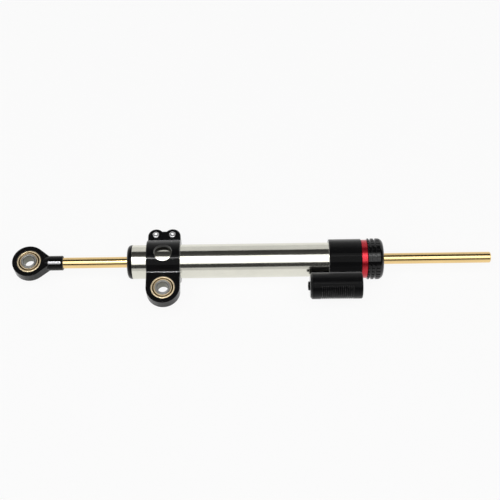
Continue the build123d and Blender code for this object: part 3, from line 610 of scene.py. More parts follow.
@dataclass
class Sheet:
    """Closed surface as a grid of points.

    Attributes:
        points: Rows by columns by 3, in millimetres.
        run: How far along the outline each row lies, in millimetres.
        ring: Whether the last row joins the first, as on a piece with a hole through it.
        second: 1 for each row that gets its finish's painted shade, or None where no row has.
    """

    points: np.ndarray
    run: np.ndarray
    ring: bool
    second: np.ndarray | None = None

    def marks(self) -> dict[str, np.ndarray]:
        """Spreads what each row carries over the row's points.

        Returns:
            The values of each attribute, point by point.
        """
        second = np.zeros(len(self.run)) if self.second is None else self.second
        columns = self.points.shape[1]
        return {RUN_MARK: np.repeat(self.run, columns), SHADE_MARK: np.repeat(second, columns)}

    def faces(self) -> np.ndarray:
        """Joins neighbours on the grid.

        The sum of the tetrahedra between the faces and the origin is the enclosed volume, and where it
        comes out negative all faces are turned over, so that they point outwards.

        Returns:
            Four vertex numbers for each face.
        """
        rows, columns = self.points.shape[:2]
        index = np.arange(rows * columns).reshape(rows, columns)
        if self.ring:
            index = np.vstack([index, index[:1]])
        index = np.hstack([index, index[:, :1]])
        quads = np.stack([index[:-1, :-1], index[1:, :-1], index[1:, 1:], index[:-1, 1:]], axis=-1)
        quads = quads.reshape(-1, 4)
        corner = self.points.reshape(-1, 3)[quads]
        halves = np.concatenate([corner[:, [0, 1, 2]], corner[:, [0, 2, 3]]])
        volume = np.einsum("ij,ij->", halves[:, 0], np.cross(halves[:, 1], halves[:, 2]))
        return quads if volume > 0 else quads[:, ::-1]


def turned(
    outline: np.ndarray,
    origin: Sequence[float],
    axis: Axis,
    ring: bool,
    angles: np.ndarray | None = None,
    radii: np.ndarray | None = None,
) -> Sheet:
    """Carries an outline round an axis.

    A point stands at origin + along * axis + radius * (cos(angle), sin(angle)) square to the axis.

    Args:
        outline: (along, out) of each point, where along is a coordinate of the model.
        origin: A point on the axis.
        axis: Direction of the axis.
        ring: Whether the outline is a closed loop clear of the axis.
        angles: Angle of each column in radians, or None for even ones.
        radii: Radius of each point, rows by columns, where it changes round the piece.

    Returns:
        The surface.
    """
    if angles is None:
        angles = np.arange(AROUND) * TURN / AROUND
    if radii is None:
        radii = np.broadcast_to(outline[:, 1:], (len(outline), len(angles)))
    along = np.broadcast_to(outline[:, :1], radii.shape)
    first, second = radii * np.cos(angles), radii * np.sin(angles)
    if axis is Axis.ALONG:
        points = np.stack([along, origin[1] + first, origin[2] + second], axis=-1)
    else:
        points = np.stack([origin[0] + first, origin[1] + second, along], axis=-1)
    steps = np.linalg.norm(np.diff(outline, axis=0), axis=1)
    return Sheet(points, np.concatenate([[0.0], np.cumsum(steps)]), ring)


def merge_doubles(mesh: bpy.types.Mesh) -> None:
    """Merges points that share a place and smooths the surface.

    Args:
        mesh: The mesh, in metres.
    """
    work = bmesh.new()
    work.from_mesh(mesh)
    bmesh.ops.remove_doubles(work, verts=work.verts, dist=SAME_PLACE)
    work.to_mesh(mesh)
    work.free()
    mesh.shade_smooth()


@dataclass(frozen=True)
class Line:
    """Line that some surfaces of a CAD copy are round.

    Attributes:
        point: A point on it, in millimetres.
        axis: Its direction.
    """

    point: np.ndarray
    axis: Axis

    def normals(self, corners: np.ndarray, flat: np.ndarray) -> tuple[np.ndarray, np.ndarray]:
        """Works out what the triangles' normals are if they lie on surfaces round this line.

        A flat normal has one part along the line and one away from it. Each corner gets both parts,
        the second one turned to the corner's own direction. What is left over, along the circle, says
        how badly the triangle fits, and so does a corner off the straight outline square to the normal.

        Args:
            corners: Place of each triangle's corners in millimetres, triangles by 3 by 3.
            flat: Normal of each triangle.

        Returns:
            The corners' normals, and how badly each triangle fits, which is infinite if it can't.
        """
        spin = np.array([1.0, 0.0, 0.0] if self.axis is Axis.ALONG else [0.0, 0.0, 1.0])
        from_point = corners - self.point
        along = from_point @ spin
        out = from_point - along[..., None] * spin
        radius = np.maximum(np.linalg.norm(out, axis=-1), SAME_PLACE)
        away = out / radius[..., None]
        middle = unit(away.mean(axis=1) + SAME_PLACE)
        part_along = flat @ spin
        part_out = np.einsum("ij,ij->i", flat, middle)
        around = np.sqrt(np.clip(1.0 - part_along**2 - part_out**2, 0.0, None))
        height = along * part_along[:, None] + radius * part_out[:, None]
        bent = np.ptp(height, axis=1)
        turned_normals = part_along[:, None, None] * spin + part_out[:, None, None] * away
        misfit = np.where((around < SQUARE) & (bent < STRAIGHT), around, np.inf)
        return unit(turned_normals), misfit


def set_round_normals(mesh: bpy.types.Mesh, lines: Sequence[Line]) -> None:
    """Gives a CAD copy the true normals of its round surfaces, and flat ones everywhere else.

    Args:
        mesh: The copy, in metres, with its doubles merged.
        lines: Lines that its surfaces are round. Each triangle takes the one that fits best.
    """
    places = np.empty(len(mesh.vertices) * 3)
    mesh.vertices.foreach_get("co", places)
    indices = np.empty(len(mesh.loops), dtype=np.int64)
    mesh.loops.foreach_get("vertex_index", indices)
    corners = places.reshape(-1, 3)[indices.reshape(-1, 3)] / MM
    crossed = np.cross(corners[:, 1] - corners[:, 0], corners[:, 2] - corners[:, 0])
    flat = crossed / np.maximum(np.linalg.norm(crossed, axis=1, keepdims=True), SAME_PLACE**2)
    chosen = np.repeat(flat[:, None, :], 3, axis=1)
    best = np.full(len(flat), np.inf)
    for line in lines:
        normals, misfit = line.normals(corners, flat)
        better = misfit < best
        chosen[better] = normals[better]
        best[better] = misfit[better]
    mesh.normals_split_custom_set(chosen.reshape(-1, 3).tolist())


@dataclass(frozen=True)
class Piece:
    """Piece of the dressed damper, which stands for a CAD node.

    Attributes:
        name: Its name.
        slot: Slot of the record that it belongs to.
        node: The CAD node.
        finish: Its own finish, or None for its slot's.
        between: Bodies at its left and its right end, or None for a piece that rides on its node's.
    """

    name: str
    slot: Slot
    node: str
    finish: Finish | None = None
    between: tuple[str, str] | None = None

    def put_on(self, mesh: bpy.types.Mesh) -> None:
        """Puts the piece into the scene in place of the node.

        Args:
            mesh: Its mesh, in metres.
        """
        piece = bpy.data.objects.new(self.name, mesh)
        bpy.context.scene.collection.objects.link(piece)
        mesh.materials.clear()
        mesh.materials.append((self.finish or FINISHES[self.slot]).material())
        if self.between:
            low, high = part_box(self.node)
            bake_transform(piece, *self.between, start=(low[0], 0.0, 0.0), end=(high[0], 0.0, 0.0))
        else:
            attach(piece, body_of(frame["nodes"][self.node])[0])
        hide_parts(self.node)
        log.info("%s: %d faces in place of %s", self.name, len(mesh.polygons), self.node)

    def make(self, *sheets: Sheet) -> None:
        """Makes the piece from closed surfaces.

        Args:
            sheets: The surfaces.
        """
        starts = np.cumsum([0] + [sheet.points[..., 0].size for sheet in sheets])
        points = np.concatenate([sheet.points.reshape(-1, 3) for sheet in sheets])
        faces = np.concatenate([sheet.faces() + start for sheet, start in zip(sheets, starts)])
        mesh = bpy.data.meshes.new(self.name)
        mesh.from_pydata((points * MM).tolist(), [], faces.tolist())
        for mark in (RUN_MARK, SHADE_MARK):
            carried = np.concatenate([sheet.marks()[mark] for sheet in sheets])
            mesh.attributes.new(mark, "FLOAT", "POINT").data.foreach_set("value", carried)
        merge_doubles(mesh)
        mesh.set_sharp_from_angle(angle=SHARP)
        self.put_on(mesh)

    def turn_ring(self, corners: Sequence[Corner]) -> None:
        """Turns the piece, with a hole through it, about the middle line of its node's box.

        Args:
            corners: (along, out, rounding) of each corner, in order round the outline.
        """
        self.make(turned(rounded(corners), Extent.of(self.node).middle, Axis.ALONG, ring=True))

    def copy_node(self, lines: Sequence[Line] = ()) -> None:
        """Makes the piece as a smooth copy of the node, whose own mesh is loose triangles.

        Args:
            lines: Lines that its surfaces are round. Without them it is smoothed by its edges' angles.
        """
        mesh = frame["nodes"][self.node].data.copy()
        merge_doubles(mesh)
        if lines:
            set_round_normals(mesh, lines)
        else:
            mesh.set_sharp_from_angle(angle=SHARP)
        self.put_on(mesh)


@dataclass
class TubeAndCap:
    """Bright tube with the rounded cap at its left end.

    Attributes:
        bore_share: The tube's bore as a share of its outside.
        lip: Rounding of the tube's and the cap's small edges.
        rim: Rounding of the cap's face.
        seat_share: The wiper's seat as a share of the cap's outside.
        seat_depth: Depth of that seat.
        web: Thickness of the wall behind the wiper.
        rod_hole: Radius of the hole in that wall.
        spigot: Length of the part inside the tube.
        nose: Length of the part inside the liner.
        nose_share: That part's radius as a share of the cap's outside.
        seal_share: The rod seal's seat as a share of the cap's outside.
        fit: Radial room between the spigot and the tube.
    """

    bore_share: float = 0.88
    lip: float = 0.15
    rim: float = 3.0
    seat_share: float = 0.52
    seat_depth: float = 3.0
    web: float = 1.5
    rod_hole: float = 4.3
    spigot: float = 9.9
    nose: float = 2.5
    nose_share: float = 0.72
    seal_share: float = 0.56
    fit: float = 0.02

    def build(self) -> None:
        """Builds the tube and the cap."""
        tube = Extent.of("outer_tube")
        self.build_tube(tube)
        self.build_cap(Extent.of("front_cap"), shoulder=tube.low[0])

    def build_tube(self, box: Extent) -> None:
        """Turns the tube's wall, with its four edges just broken.

        Args:
            box: Box of the tube.
        """
        radius = box.half_height
        bore = radius * self.bore_share
        left, right = box.low[0], box.high[0]
        corners = [(left, bore), (left, radius), (right, radius), (right, bore)]
        edges = [(*corner, self.lip) for corner in corners]
        Piece("polished_tube", Slot.TUBE, "outer_tube").turn_ring(edges)

    def build_cap(self, box: Extent, shoulder: float) -> None:
        """Turns the cap: its face with the wiper's seat, the rim, the spigot and the nose.

        Args:
            box: Box of the cap.
            shoulder: Where the cap meets the tube, along the damper.
        """
        radius = box.half_height
        face = box.low[0]
        spigot_end = shoulder + self.spigot
        nose_end = spigot_end + self.nose
        seat = radius * self.seat_share
        seal = radius * self.seal_share
        seat_end = face + self.seat_depth
        seal_start = seat_end + self.web
        spigot = radius * self.bore_share - self.fit
        nose = radius * self.nose_share - self.fit
        corners = [
            (seat_end, seat, self.lip),
            (face, seat, self.lip),
            (face, radius, self.rim),
            (shoulder, radius, self.lip),
            (shoulder, spigot, 0.0),
            (spigot_end, spigot, self.lip),
            (spigot_end, nose, 0.0),
            (nose_end, nose, self.lip),
            (nose_end, seal, self.lip),
            (seal_start, seal, 0.0),
            (seal_start, self.rod_hole, self.lip),
            (seat_end, self.rod_hole, self.lip),
        ]
        Piece("front_end_cap", Slot.BLACK, "front_cap").turn_ring(corners)


@dataclass
class Rod:
    """Gold coated rod with a stud at its left end for the eye.

    Attributes:
        radius: Radius of the rod.
        stud: Radius of the stud.
        stud_length: Length of the stud.
        chamfer: Chamfer at both ends.
        lip: Rounding of the edges.
    """

    radius: float = 4.0
    stud: float = 3.0
    stud_length: float = 13.0
    chamfer: float = 0.6
    lip: float = 0.12

    def build(self) -> None:
        """Turns the rod in one piece."""
        box = Extent.of("rod")
        left, right = box.low[0], box.high[0]
        shoulder = left + self.stud_length
        outline = rounded(
            [
                (left, 0.0, 0.0),
                (left, self.stud - self.chamfer, self.lip),
                (left + self.chamfer, self.stud, self.lip),
                (shoulder, self.stud, 0.0),
                (shoulder, self.radius, self.lip),
                (right - self.chamfer, self.radius, self.lip),
                (right, self.radius - self.chamfer, self.lip),
                (right, 0.0, 0.0),
            ]
        )
        sheet = turned(outline, box.middle, Axis.ALONG, ring=False)
        Piece("gold_rod_shaft", Slot.ROD, "rod").make(sheet)


@dataclass(frozen=True)
class SocketScrew:
    """Round headed screw with a hexagon socket.

    Attributes:
        head: Radius of the head.
        head_height: Height of the head.
        chamfer: Chamfer of the head's outer edge.
        lip: Rounding of the edges.
        key: Width of the socket across its flats.
        key_depth: Depth of the socket.
        shank: Radius of the shank.
        ridges: Number of grip ridges round the head. With 0 their band is plain and a ridge lower.
        ridge: Height of a ridge.
        point: Depth of the socket's drilled point as a share of half of the socket's width.
        columns: Columns round the screw.
    """

    head: float
    head_height: float
    chamfer: float
    key: float
    key_depth: float
    shank: float
    ridges: int = 0
    ridge: float = 0.12
    point: float = 0.35
    lip: float = 0.08
    columns: int = 240

    def sheet(self, top: float, end: float, origin: np.ndarray, axis: Axis) -> Sheet:
        """Turns the screw from the bottom of its socket, over the head and down to the shank's end.

        The socket's radius is half its width over the cosine of the angle from the nearest flat's
        middle. A ridged row's radius drops by a ridge times the distance from the nearest ridge.

        Args:
            top: Where the head's top lies along the axis.
            end: Where the shank ends along the axis.
            origin: A point on the axis.
            axis: Direction of the axis.

        Returns:
            The surface.
        """
        way = 1.0 if end > top else -1.0
        floor = top + way * self.key_depth
        under = top + way * self.head_height
        flat = self.key / 2
        side = self.head - self.chamfer
        soft = 0.3 * self.lip
        # along, radius, share of the socket in it, share of the ridges in it
        rows = np.array(
            [
                (floor + way * self.point * flat, 0.0, 0.0, 0.0),
                (floor, 0.0, 0.98, 0.0),
                (floor - way * self.lip, 0.0, 1.0, 0.0),
                (top + way * 2 * self.lip, 0.0, 1.0, 0.0),
                (top + way * self.lip, 0.0, 1.02, 0.0),
                (top, self.lip, 1.05, 0.0),
                (top, 2 * self.lip, 1.05, 0.0),
                (top, side - 2 * self.lip, 0.0, 0.0),
                (top, side - self.lip, 0.0, 0.0),
                (top + way * soft, side, 0.0, 0.0),
                (top + way * (self.chamfer - soft), self.head - soft, 0.0, 0.0),
                (top + way * (self.chamfer + self.lip), self.head, 0.0, 0.0),
                (top + way * (self.chamfer + 3 * self.lip), self.head, 0.0, 1.0),
                (under - way * 3 * self.lip, self.head, 0.0, 1.0),
                (under - way * self.lip, self.head - self.lip, 0.0, 0.0),
                (under, self.head - 2 * self.lip, 0.0, 0.0),
                (under, self.shank, 0.0, 0.0),
                (end - way * 2 * self.lip, self.shank, 0.0, 0.0),
                (end, self.shank - 2 * self.lip, 0.0, 0.0),
                (end, 0.0, 0.0, 0.0),
            ]
        )
        angles = np.arange(self.columns) * TURN / self.columns
        sixth = TURN / 6
        socket = flat / np.cos((angles + sixth / 2) % sixth - sixth / 2)
        grip = np.abs(((angles * self.ridges / TURN) % 1.0) - 0.5) * 2 * self.ridge
        radii = rows[:, 1:2] + rows[:, 2:3] * socket - rows[:, 3:4] * grip
        outline = np.column_stack([rows[:, 0], radii.mean(axis=1)])
        return turned(outline, origin, axis, ring=False, angles=angles, radii=radii)


@dataclass
class Reservoir:
    """Valve block with its reservoir, the reservoir's cap and the fill screw.

    Attributes:
        spigot: Length of the cap's part inside the reservoir.
        spigot_share: That part's radius as a share of the cap's.
        chamfer: How far the edge of the cap's face is cut back.
        rim: Rounding of both corners of that cut.
        hole: Radius of the fill hole.
        lip: Rounding of the small edges.
        screw: Sizes of the fill screw.
    """

    spigot: float = 4.0
    spigot_share: float = 0.771
    chamfer: float = 1.4
    rim: float = 1.0
    hole: float = 2.02
    lip: float = 0.12
    screw: SocketScrew = SocketScrew(
        head=3.3, head_height=1.2, chamfer=0.4, key=3.0, key_depth=0.7, shank=1.98
    )

    def build(self) -> None:
        """Builds the block, the cap, the fill screw and the coil spring.

        The spring's right end moves with the floating piston, which presses it together.
        """
        lines = [Line(Extent.of(node).middle, Axis.ALONG) for node in ("outer_tube", "reservoir_cap")]
        Piece("valve_block_body", Slot.BLACK, "valve_block").copy_node(lines)
        self.build_cap(Extent.of("reservoir_cap"))
        self.build_screw(Extent.of("fill_screw"))
        coil = Piece("reservoir_coil", Slot.SPRING, "reservoir_spring", between=("barrel", "compensator"))
        coil.copy_node()

    def build_cap(self, box: Extent) -> None:
        """Turns the cap with its chamfered face, its spigot and its fill hole.

        Args:
            box: Box of the cap.
        """
        radius = box.half_height
        face, end = box.low[0], box.high[0]
        rim = end - self.spigot
        inner = radius * self.spigot_share
        corners = [
            (face, self.hole, self.lip),
            (face, radius - self.chamfer, self.rim),
            (face + self.chamfer, radius, self.rim / 2),
            (rim, radius, self.lip),
            (rim, inner, 0.0),
            (end, inner, self.lip),
            (end, self.hole, 0.0),
        ]
        Piece("reservoir_end_cap", Slot.BLACK, "reservoir_cap").turn_ring(corners)

    def build_screw(self, box: Extent) -> None:
        """Turns the fill screw, whose head faces the clamp."""
        sheet = self.screw.sheet(box.low[0], box.high[0], box.middle, Axis.ALONG)
        Piece("fill_screw_head", Slot.BLACK, "fill_screw").make(sheet)


@dataclass
class ClickRing:
    """Red ring between the block and the knob.

    Attributes:
        bore: Radius of its bore.
        chamfer: Chamfer of its outer edges.
        lip: Rounding of the edges.
    """

    bore: float = 9.02
    chamfer: float = 0.4
    lip: float = 0.12

    def build(self) -> None:
        """Turns the ring."""
        box = Extent.of("click_ring")
        radius = box.half_height
        left, right = box.low[0], box.high[0]
        corners = [
            (left, self.bore, 0.0),
            (left, radius - self.chamfer, self.lip),
            (left + self.chamfer, radius, self.lip),
            (right - self.chamfer, radius, self.lip),
            (right, radius - self.chamfer, self.lip),
            (right, self.bore, 0.0),
        ]
        Piece("red_click_ring", Slot.RED, "click_ring").turn_ring(corners)


@dataclass
class AdjusterKnob:
    """Knob with rows of square studs round a cup with a rounded end.

    Attributes:
        rows: Number of stud rows.
        lead: From the knob's front to the first groove.
        pitch: Distance from one groove to the next.
        groove: Width of a groove.
        length: From the knob's front to the end of the last row.
        depth: Height of a stud.
        studs: Number of studs in a row.
        slot: Width of the slot between two studs.
        edge: Chamfer round a stud's top.
        steep: How far a stud's wall leans, so that its two ends are two columns or rows.
        end_rounding: Rounding of the knob's right end.
        end_rows: Rows on that rounding, beside the last studs and past them.
        recess: Radius and depth of the recess in that end.
        web: Thickness of the wall that turns on the spindle.
        bore: Radius of the hole in that wall.
        cavity: Radius of the hollow that holds the adjuster ring.
        lip: Rounding of the inner edges.
    """

    rows: int = 3
    lead: float = 1.2
    pitch: float = 3.3
    groove: float = 1.4
    length: float = 8.7
    depth: float = 0.9
    studs: int = 32
    slot: float = 0.85
    edge: float = 0.14
    steep: float = 0.02
    end_rounding: float = 4.0
    end_rows: tuple[int, int] = (5, 9)
    recess: tuple[float, float] = (11.0, 3.0)
    web: float = 3.1
    bore: float = 9.04
    cavity: float = 11.6
    lip: float = 0.12

    def shell(self, stations: np.ndarray, radius: float, end: float) -> np.ndarray:
        """Outer radius at each station: even, then a quarter circle down to the end."""
        past = np.clip(stations - (end - self.end_rounding), 0.0, self.end_rounding)
        return radius - self.end_rounding + np.sqrt(self.end_rounding**2 - past**2)

    def columns(self, radius: float) -> tuple[np.ndarray, np.ndarray, np.ndarray]:
        """Places the columns where a slot's floor, a stud's walls and its flat top begin.

        Args:
            radius: Outer radius of the knob.

        Returns:
            The angle of each column, how deep it lies in a slot from 0 to 1, and the factor on the
            radius that makes the studs' tops flat, 1 at their edges.
        """
        period = TURN * radius / self.studs
        half = self.slot / 2
        rise = self.edge / self.depth
        table = np.array(
            [
                (half - self.steep, 1.0),
                (half, rise),
                (half + self.edge, 0.0),
                (half + 2 * self.edge, 0.0),
                (period / 2, 0.0),
                (period - half - 2 * self.edge, 0.0),
                (period - half - self.edge, 0.0),
                (period - half, rise),
                (period - half + self.steep, 1.0),
            ]
        )
        starts = np.arange(self.studs)[:, None] * period
        angles = ((starts + table[:, 0]) / radius).ravel()
        sunk = np.tile(table[:, 1], self.studs)
        off_middle = np.abs(table[:, 0] - period / 2) / radius
        reach = (period / 2 - half) / radius
        flat = np.tile(math.cos(reach) / np.cos(np.minimum(off_middle, reach)), self.studs)
        return angles, sunk, flat

    def build(self) -> None:
        """Builds the knob on one grid.

        The rows follow the knob's outline: the front face, the three rows of studs with a groove
        after the first and the second, the rounded end, the recess, the bore and the cavity. On the
        rows of a stud the radius goes down to the slot's floor by the column's depth in its slot.
        """
        box = Extent.of("adjuster_knob")
        radius = box.half_height
        front, end = box.low[0], box.high[0]
        floor = radius - self.depth
        rows: list[tuple[float, float, float]] = [(front, floor, 0.0)]
        start = front
        for number in range(self.rows):
            last = number == self.rows - 1
            stop = front + (self.length if last else self.lead + number * self.pitch)
            rows += [
                (start, radius - self.edge, 1.0),
                (start + self.edge, radius, 1.0),
                (start + 2 * self.edge, radius, 1.0),
            ]
            if not last:
                start = stop + self.groove
                rows += [
                    (stop - 2 * self.edge, radius, 1.0),
                    (stop - self.edge, radius, 1.0),
                    (stop, radius - self.edge, 1.0),
                    (stop + self.steep, floor, 0.0),
                    (stop + self.groove - self.steep, floor, 0.0),
                ]
        beside, past = self.end_rows
        curve = np.linspace(end - self.end_rounding, stop, beside)
        rows += [(x, r, 1.0) for x, r in zip(curve, self.shell(curve, radius, end))]
        swing = np.linspace(math.asin((stop - curve[0]) / self.end_rounding), math.pi / 2, past)
        curve = end - self.end_rounding * (1 - np.sin(swing))
        curve[0] += self.steep
        rows += [(x, r, 0.0) for x, r in zip(curve, self.shell(curve, radius, end))]
        recess, recess_depth = self.recess
        web_end = end - recess_depth
        web_start = web_end - self.web
        inner = rounded(
            [
                (end, recess, self.lip),
                (web_end, recess, self.lip),
                (web_end, self.bore, self.lip),
                (web_start, self.bore, self.lip),
                (web_start, self.cavity, self.lip),
                (front, self.cavity, self.lip),
                (front, floor - self.lip, 0.0),
            ]
        )
        table = np.vstack([np.array(rows), np.column_stack([inner, np.zeros(len(inner))])])
        angles, sunk, flat = self.columns(radius)
        plain = table[:, 1:2]
        on_stud = table[:, 2:3]
        top = plain * (1 + on_stud * (flat - 1))
        radii = top - on_stud * sunk * np.maximum(top - floor, 0.0)
        outline = table[:, :2]
        sheet = turned(outline, box.middle, Axis.ALONG, ring=True, angles=angles, radii=radii)
        Piece("studded_knob", Slot.BLACK, "adjuster_knob", KNOB_FINISH).make(sheet)


@dataclass
class Bearing:
    """Ball with a bolt bore in a staked race.

    Attributes:
        ball: Radius of the ball.
        bore: Radius of the bolt bore.
        bore_chamfer: Chamfer at both ends of the bore.
        room: Radial room between the ball and the race.
        stake_inset: From the race's outside to the middle of its stake groove.
        stake_width: Width of that groove.
        stake_depth: Depth of that groove.
        lip: Rounding of the small edges.
        bead: Rounding of the ring outside the groove.
        arc_rows: Rows on the ball's and the seat's curve.
    """

    ball: float = 7.0
    bore: float = 4.0
    bore_chamfer: float = 0.5
    room: float = 0.04
    stake_inset: float = 1.7
    stake_width: float = 1.2
    stake_depth: float = 0.5
    lip: float = 0.08
    bead: float = 0.45
    arc_rows: int = 24

    def build(self, place: str) -> None:
        """Builds the ball and the race of the bearing whose nodes' names start with its place."""
        self.build_ball(Extent.of(f"{place}_ball"), place)
        self.build_race(Extent.of(f"{place}_race"), place)

    def dome(self, box: Extent, radius: float) -> np.ndarray:
        """Bends an outline round the box's middle, from its lower to its upper face.

        A point lies at (radius * sin(swing), radius * cos(swing)), and the faces cut the swing off.

        Args:
            box: Box of the ball or the race.
            radius: Radius of the curve.

        Returns:
            The outline's points, two numbers each.
        """
        middle, half = box.middle[2], (box.high[2] - box.low[2]) / 2
        swing = math.asin(half / radius) * np.linspace(-1.0, 1.0, self.arc_rows)
        return np.column_stack([middle + radius * np.sin(swing), radius * np.cos(swing)])

    def build_ball(self, box: Extent, place: str) -> None:
        """Turns the ball: its curve, both flat ends and the bore.

        Args:
            box: Box of the ball.
            place: Start of its nodes' names.
        """
        low, high = box.low[2], box.high[2]
        curve = self.dome(box, self.ball)[::-1]
        widest = curve[0, 1]
        flat = rounded(
            [
                (low, widest, 0.0),
                (low, self.bore + self.bore_chamfer, self.lip),
                (low + self.bore_chamfer, self.bore, self.lip),
                (high - self.bore_chamfer, self.bore, self.lip),
                (high, self.bore + self.bore_chamfer, self.lip),
                (high, widest, 0.0),
            ]
        )
        outline = np.vstack([curve[1:-1], flat])
        sheet = turned(outline, box.middle, Axis.UPRIGHT, ring=True)
        # painted shade on the bore's wall and the inner half of its chamfers
        sheet.second = (outline[:, 1] < self.bore + self.bore_chamfer / 2).astype(float)
        Piece(f"{place}_bearing_ball", Slot.BALL, f"{place}_ball").make(sheet)

    def build_race(self, box: Extent, place: str) -> None:
        """Turns the race: a ring with a V groove in both faces and a round seat for the ball.

        Args:
            box: Box of the race.
            place: Start of its nodes' names.
        """
        low, high = box.low[2], box.high[2]
        radius = float(box.high[0] - box.low[0]) / 2
        curve = self.dome(box, self.ball + self.room)
        mouth = curve[0, 1]
        groove = radius - self.stake_inset
        wing = self.stake_width / 2
        ring = rounded(
            [
                (high, mouth, 0.0),
                (high, groove - wing, self.lip),
                (high - self.stake_depth, groove, self.lip / 2),
                (high, groove + wing, self.bead),
                (high, radius, self.bead),
                (low, radius, self.bead),
                (low, groove + wing, self.bead),
                (low + self.stake_depth, groove, self.lip / 2),
                (low, groove - wing, self.lip),
                (low, mouth, 0.0),
            ]
        )
        outline = np.vstack([curve[1:-1], ring])
        sheet = turned(outline, box.middle, Axis.UPRIGHT, ring=True)
        # painted shade on the rows near the stake grooves
        sheet.second = (np.abs(outline[:, 1] - groove) < wing).astype(float)
        Piece(f"{place}_bearing_race", Slot.RACE, f"{place}_race").make(sheet)


@dataclass
class RodEye:
    """Black eye on the rod's left end, with its bearing."""

    bearing: Bearing

    def build(self) -> None:
        """Builds the eye and its bearing."""
        lines = [
            Line(Extent.of("rod_eye_race").middle, Axis.UPRIGHT),
            Line(Extent.of("outer_tube").middle, Axis.ALONG),
        ]
        # its finish paints a highlight stripe of bare metal colour along the neck's top
        Piece("rod_eye_body", Slot.BLACK, "rod_eye", EYE_FINISH).copy_node(lines)
        self.bearing.build("rod_eye")


@dataclass
class Clamp:
    """Split clamp on the tube, with its bearing and its two screws.

    Attributes:
        bearing: Sizes of the bearing.
        screw: Sizes of a screw.
    """

    bearing: Bearing
    screw: SocketScrew = SocketScrew(
        head=2.3, head_height=2.5, chamfer=0.3, key=2.0, key_depth=1.0, shank=1.25, ridges=36
    )

    def build(self) -> None:
        """Builds the clamp, its bearing and its screws."""
        box = Extent.of("clamp_screws")
        tube = Extent.of("outer_tube").middle
        race = Extent.of("clamp_race").middle
        stations = (box.low[0] + self.screw.head, box.high[0] - self.screw.head)
        screws = [np.array([x, box.middle[1], 0.0]) for x in stations]
        window = np.array([race[0], tube[1], tube[2]])
        lines = [Line(tube, Axis.ALONG), Line(race, Axis.UPRIGHT), Line(window, Axis.UPRIGHT)]
        lines += [Line(screw, Axis.UPRIGHT) for screw in screws]
        # its finish paints a highlight line at the foot of the ring, over the lug
        Piece("split_clamp", Slot.BLACK, "clamp_body", CLAMP_FINISH).copy_node(lines)
        self.bearing.build("clamp")
        sheets = [self.screw.sheet(box.high[2], box.low[2], screw, Axis.UPRIGHT) for screw in screws]
        Piece("clamp_socket_screws", Slot.SCREW, "clamp_screws").make(*sheets)


def dress_nodes() -> None:
    """Gives every CAD node the finish of its slot in the record."""
    slots = {part["node"]: Slot(part["material_slot"]) for part in frame["record"]["subparts"]}
    for name, node in frame["nodes"].items():
        for place in node.material_slots:
            place.material = FINISHES[slots[name]].material()
    log.info("%d CAD nodes dressed", len(slots))


@dataclass(frozen=True)
class Softbox:
    """Area lamp that faces the damper.

    Attributes:
        name: Name of the lamp.
        elevation: Height of its middle above the front horizon, in degrees over the top.
        spread: Angle in degrees that it covers as the damper sees it.
        distance: Distance from the damper in metres.
        length: Length along the damper in metres.
        radiance: Brightness of its face, where 1 is white.
        along: How far it hangs towards the knob, in metres.
        only_mirrored: Whether it shows in reflections and lights nothing else.
    """

    name: str
    elevation: float
    spread: float
    distance: float
    length: float
    radiance: float
    along: float = 0.0
    only_mirrored: bool = False

    def place(self, aim: Vector) -> None:
        """Hangs the lamp.

        Args:
            aim: Point that it faces, in metres.
        """
        width = 2 * self.distance * math.tan(math.radians(self.spread / 2))
        lamp = bpy.data.lights.new(self.name, "AREA")
        lamp.shape = "RECTANGLE"
        lamp.size, lamp.size_y = self.length, width
        lamp.energy = self.radiance * math.pi * self.length * width
        angle = math.radians(self.elevation)
        away = Vector((0.0, -math.cos(angle), math.sin(angle)))
        hang = aim + away * self.distance + Vector((self.along, 0.0, 0.0))
        holder = bpy.data.objects.new(self.name, lamp)
        holder.matrix_world = Matrix.Translation(hang) @ Matrix.Rotation(math.pi / 2 - angle, 4, "X")
        holder.visible_diffuse = not self.only_mirrored
        bpy.context.scene.collection.objects.link(holder)


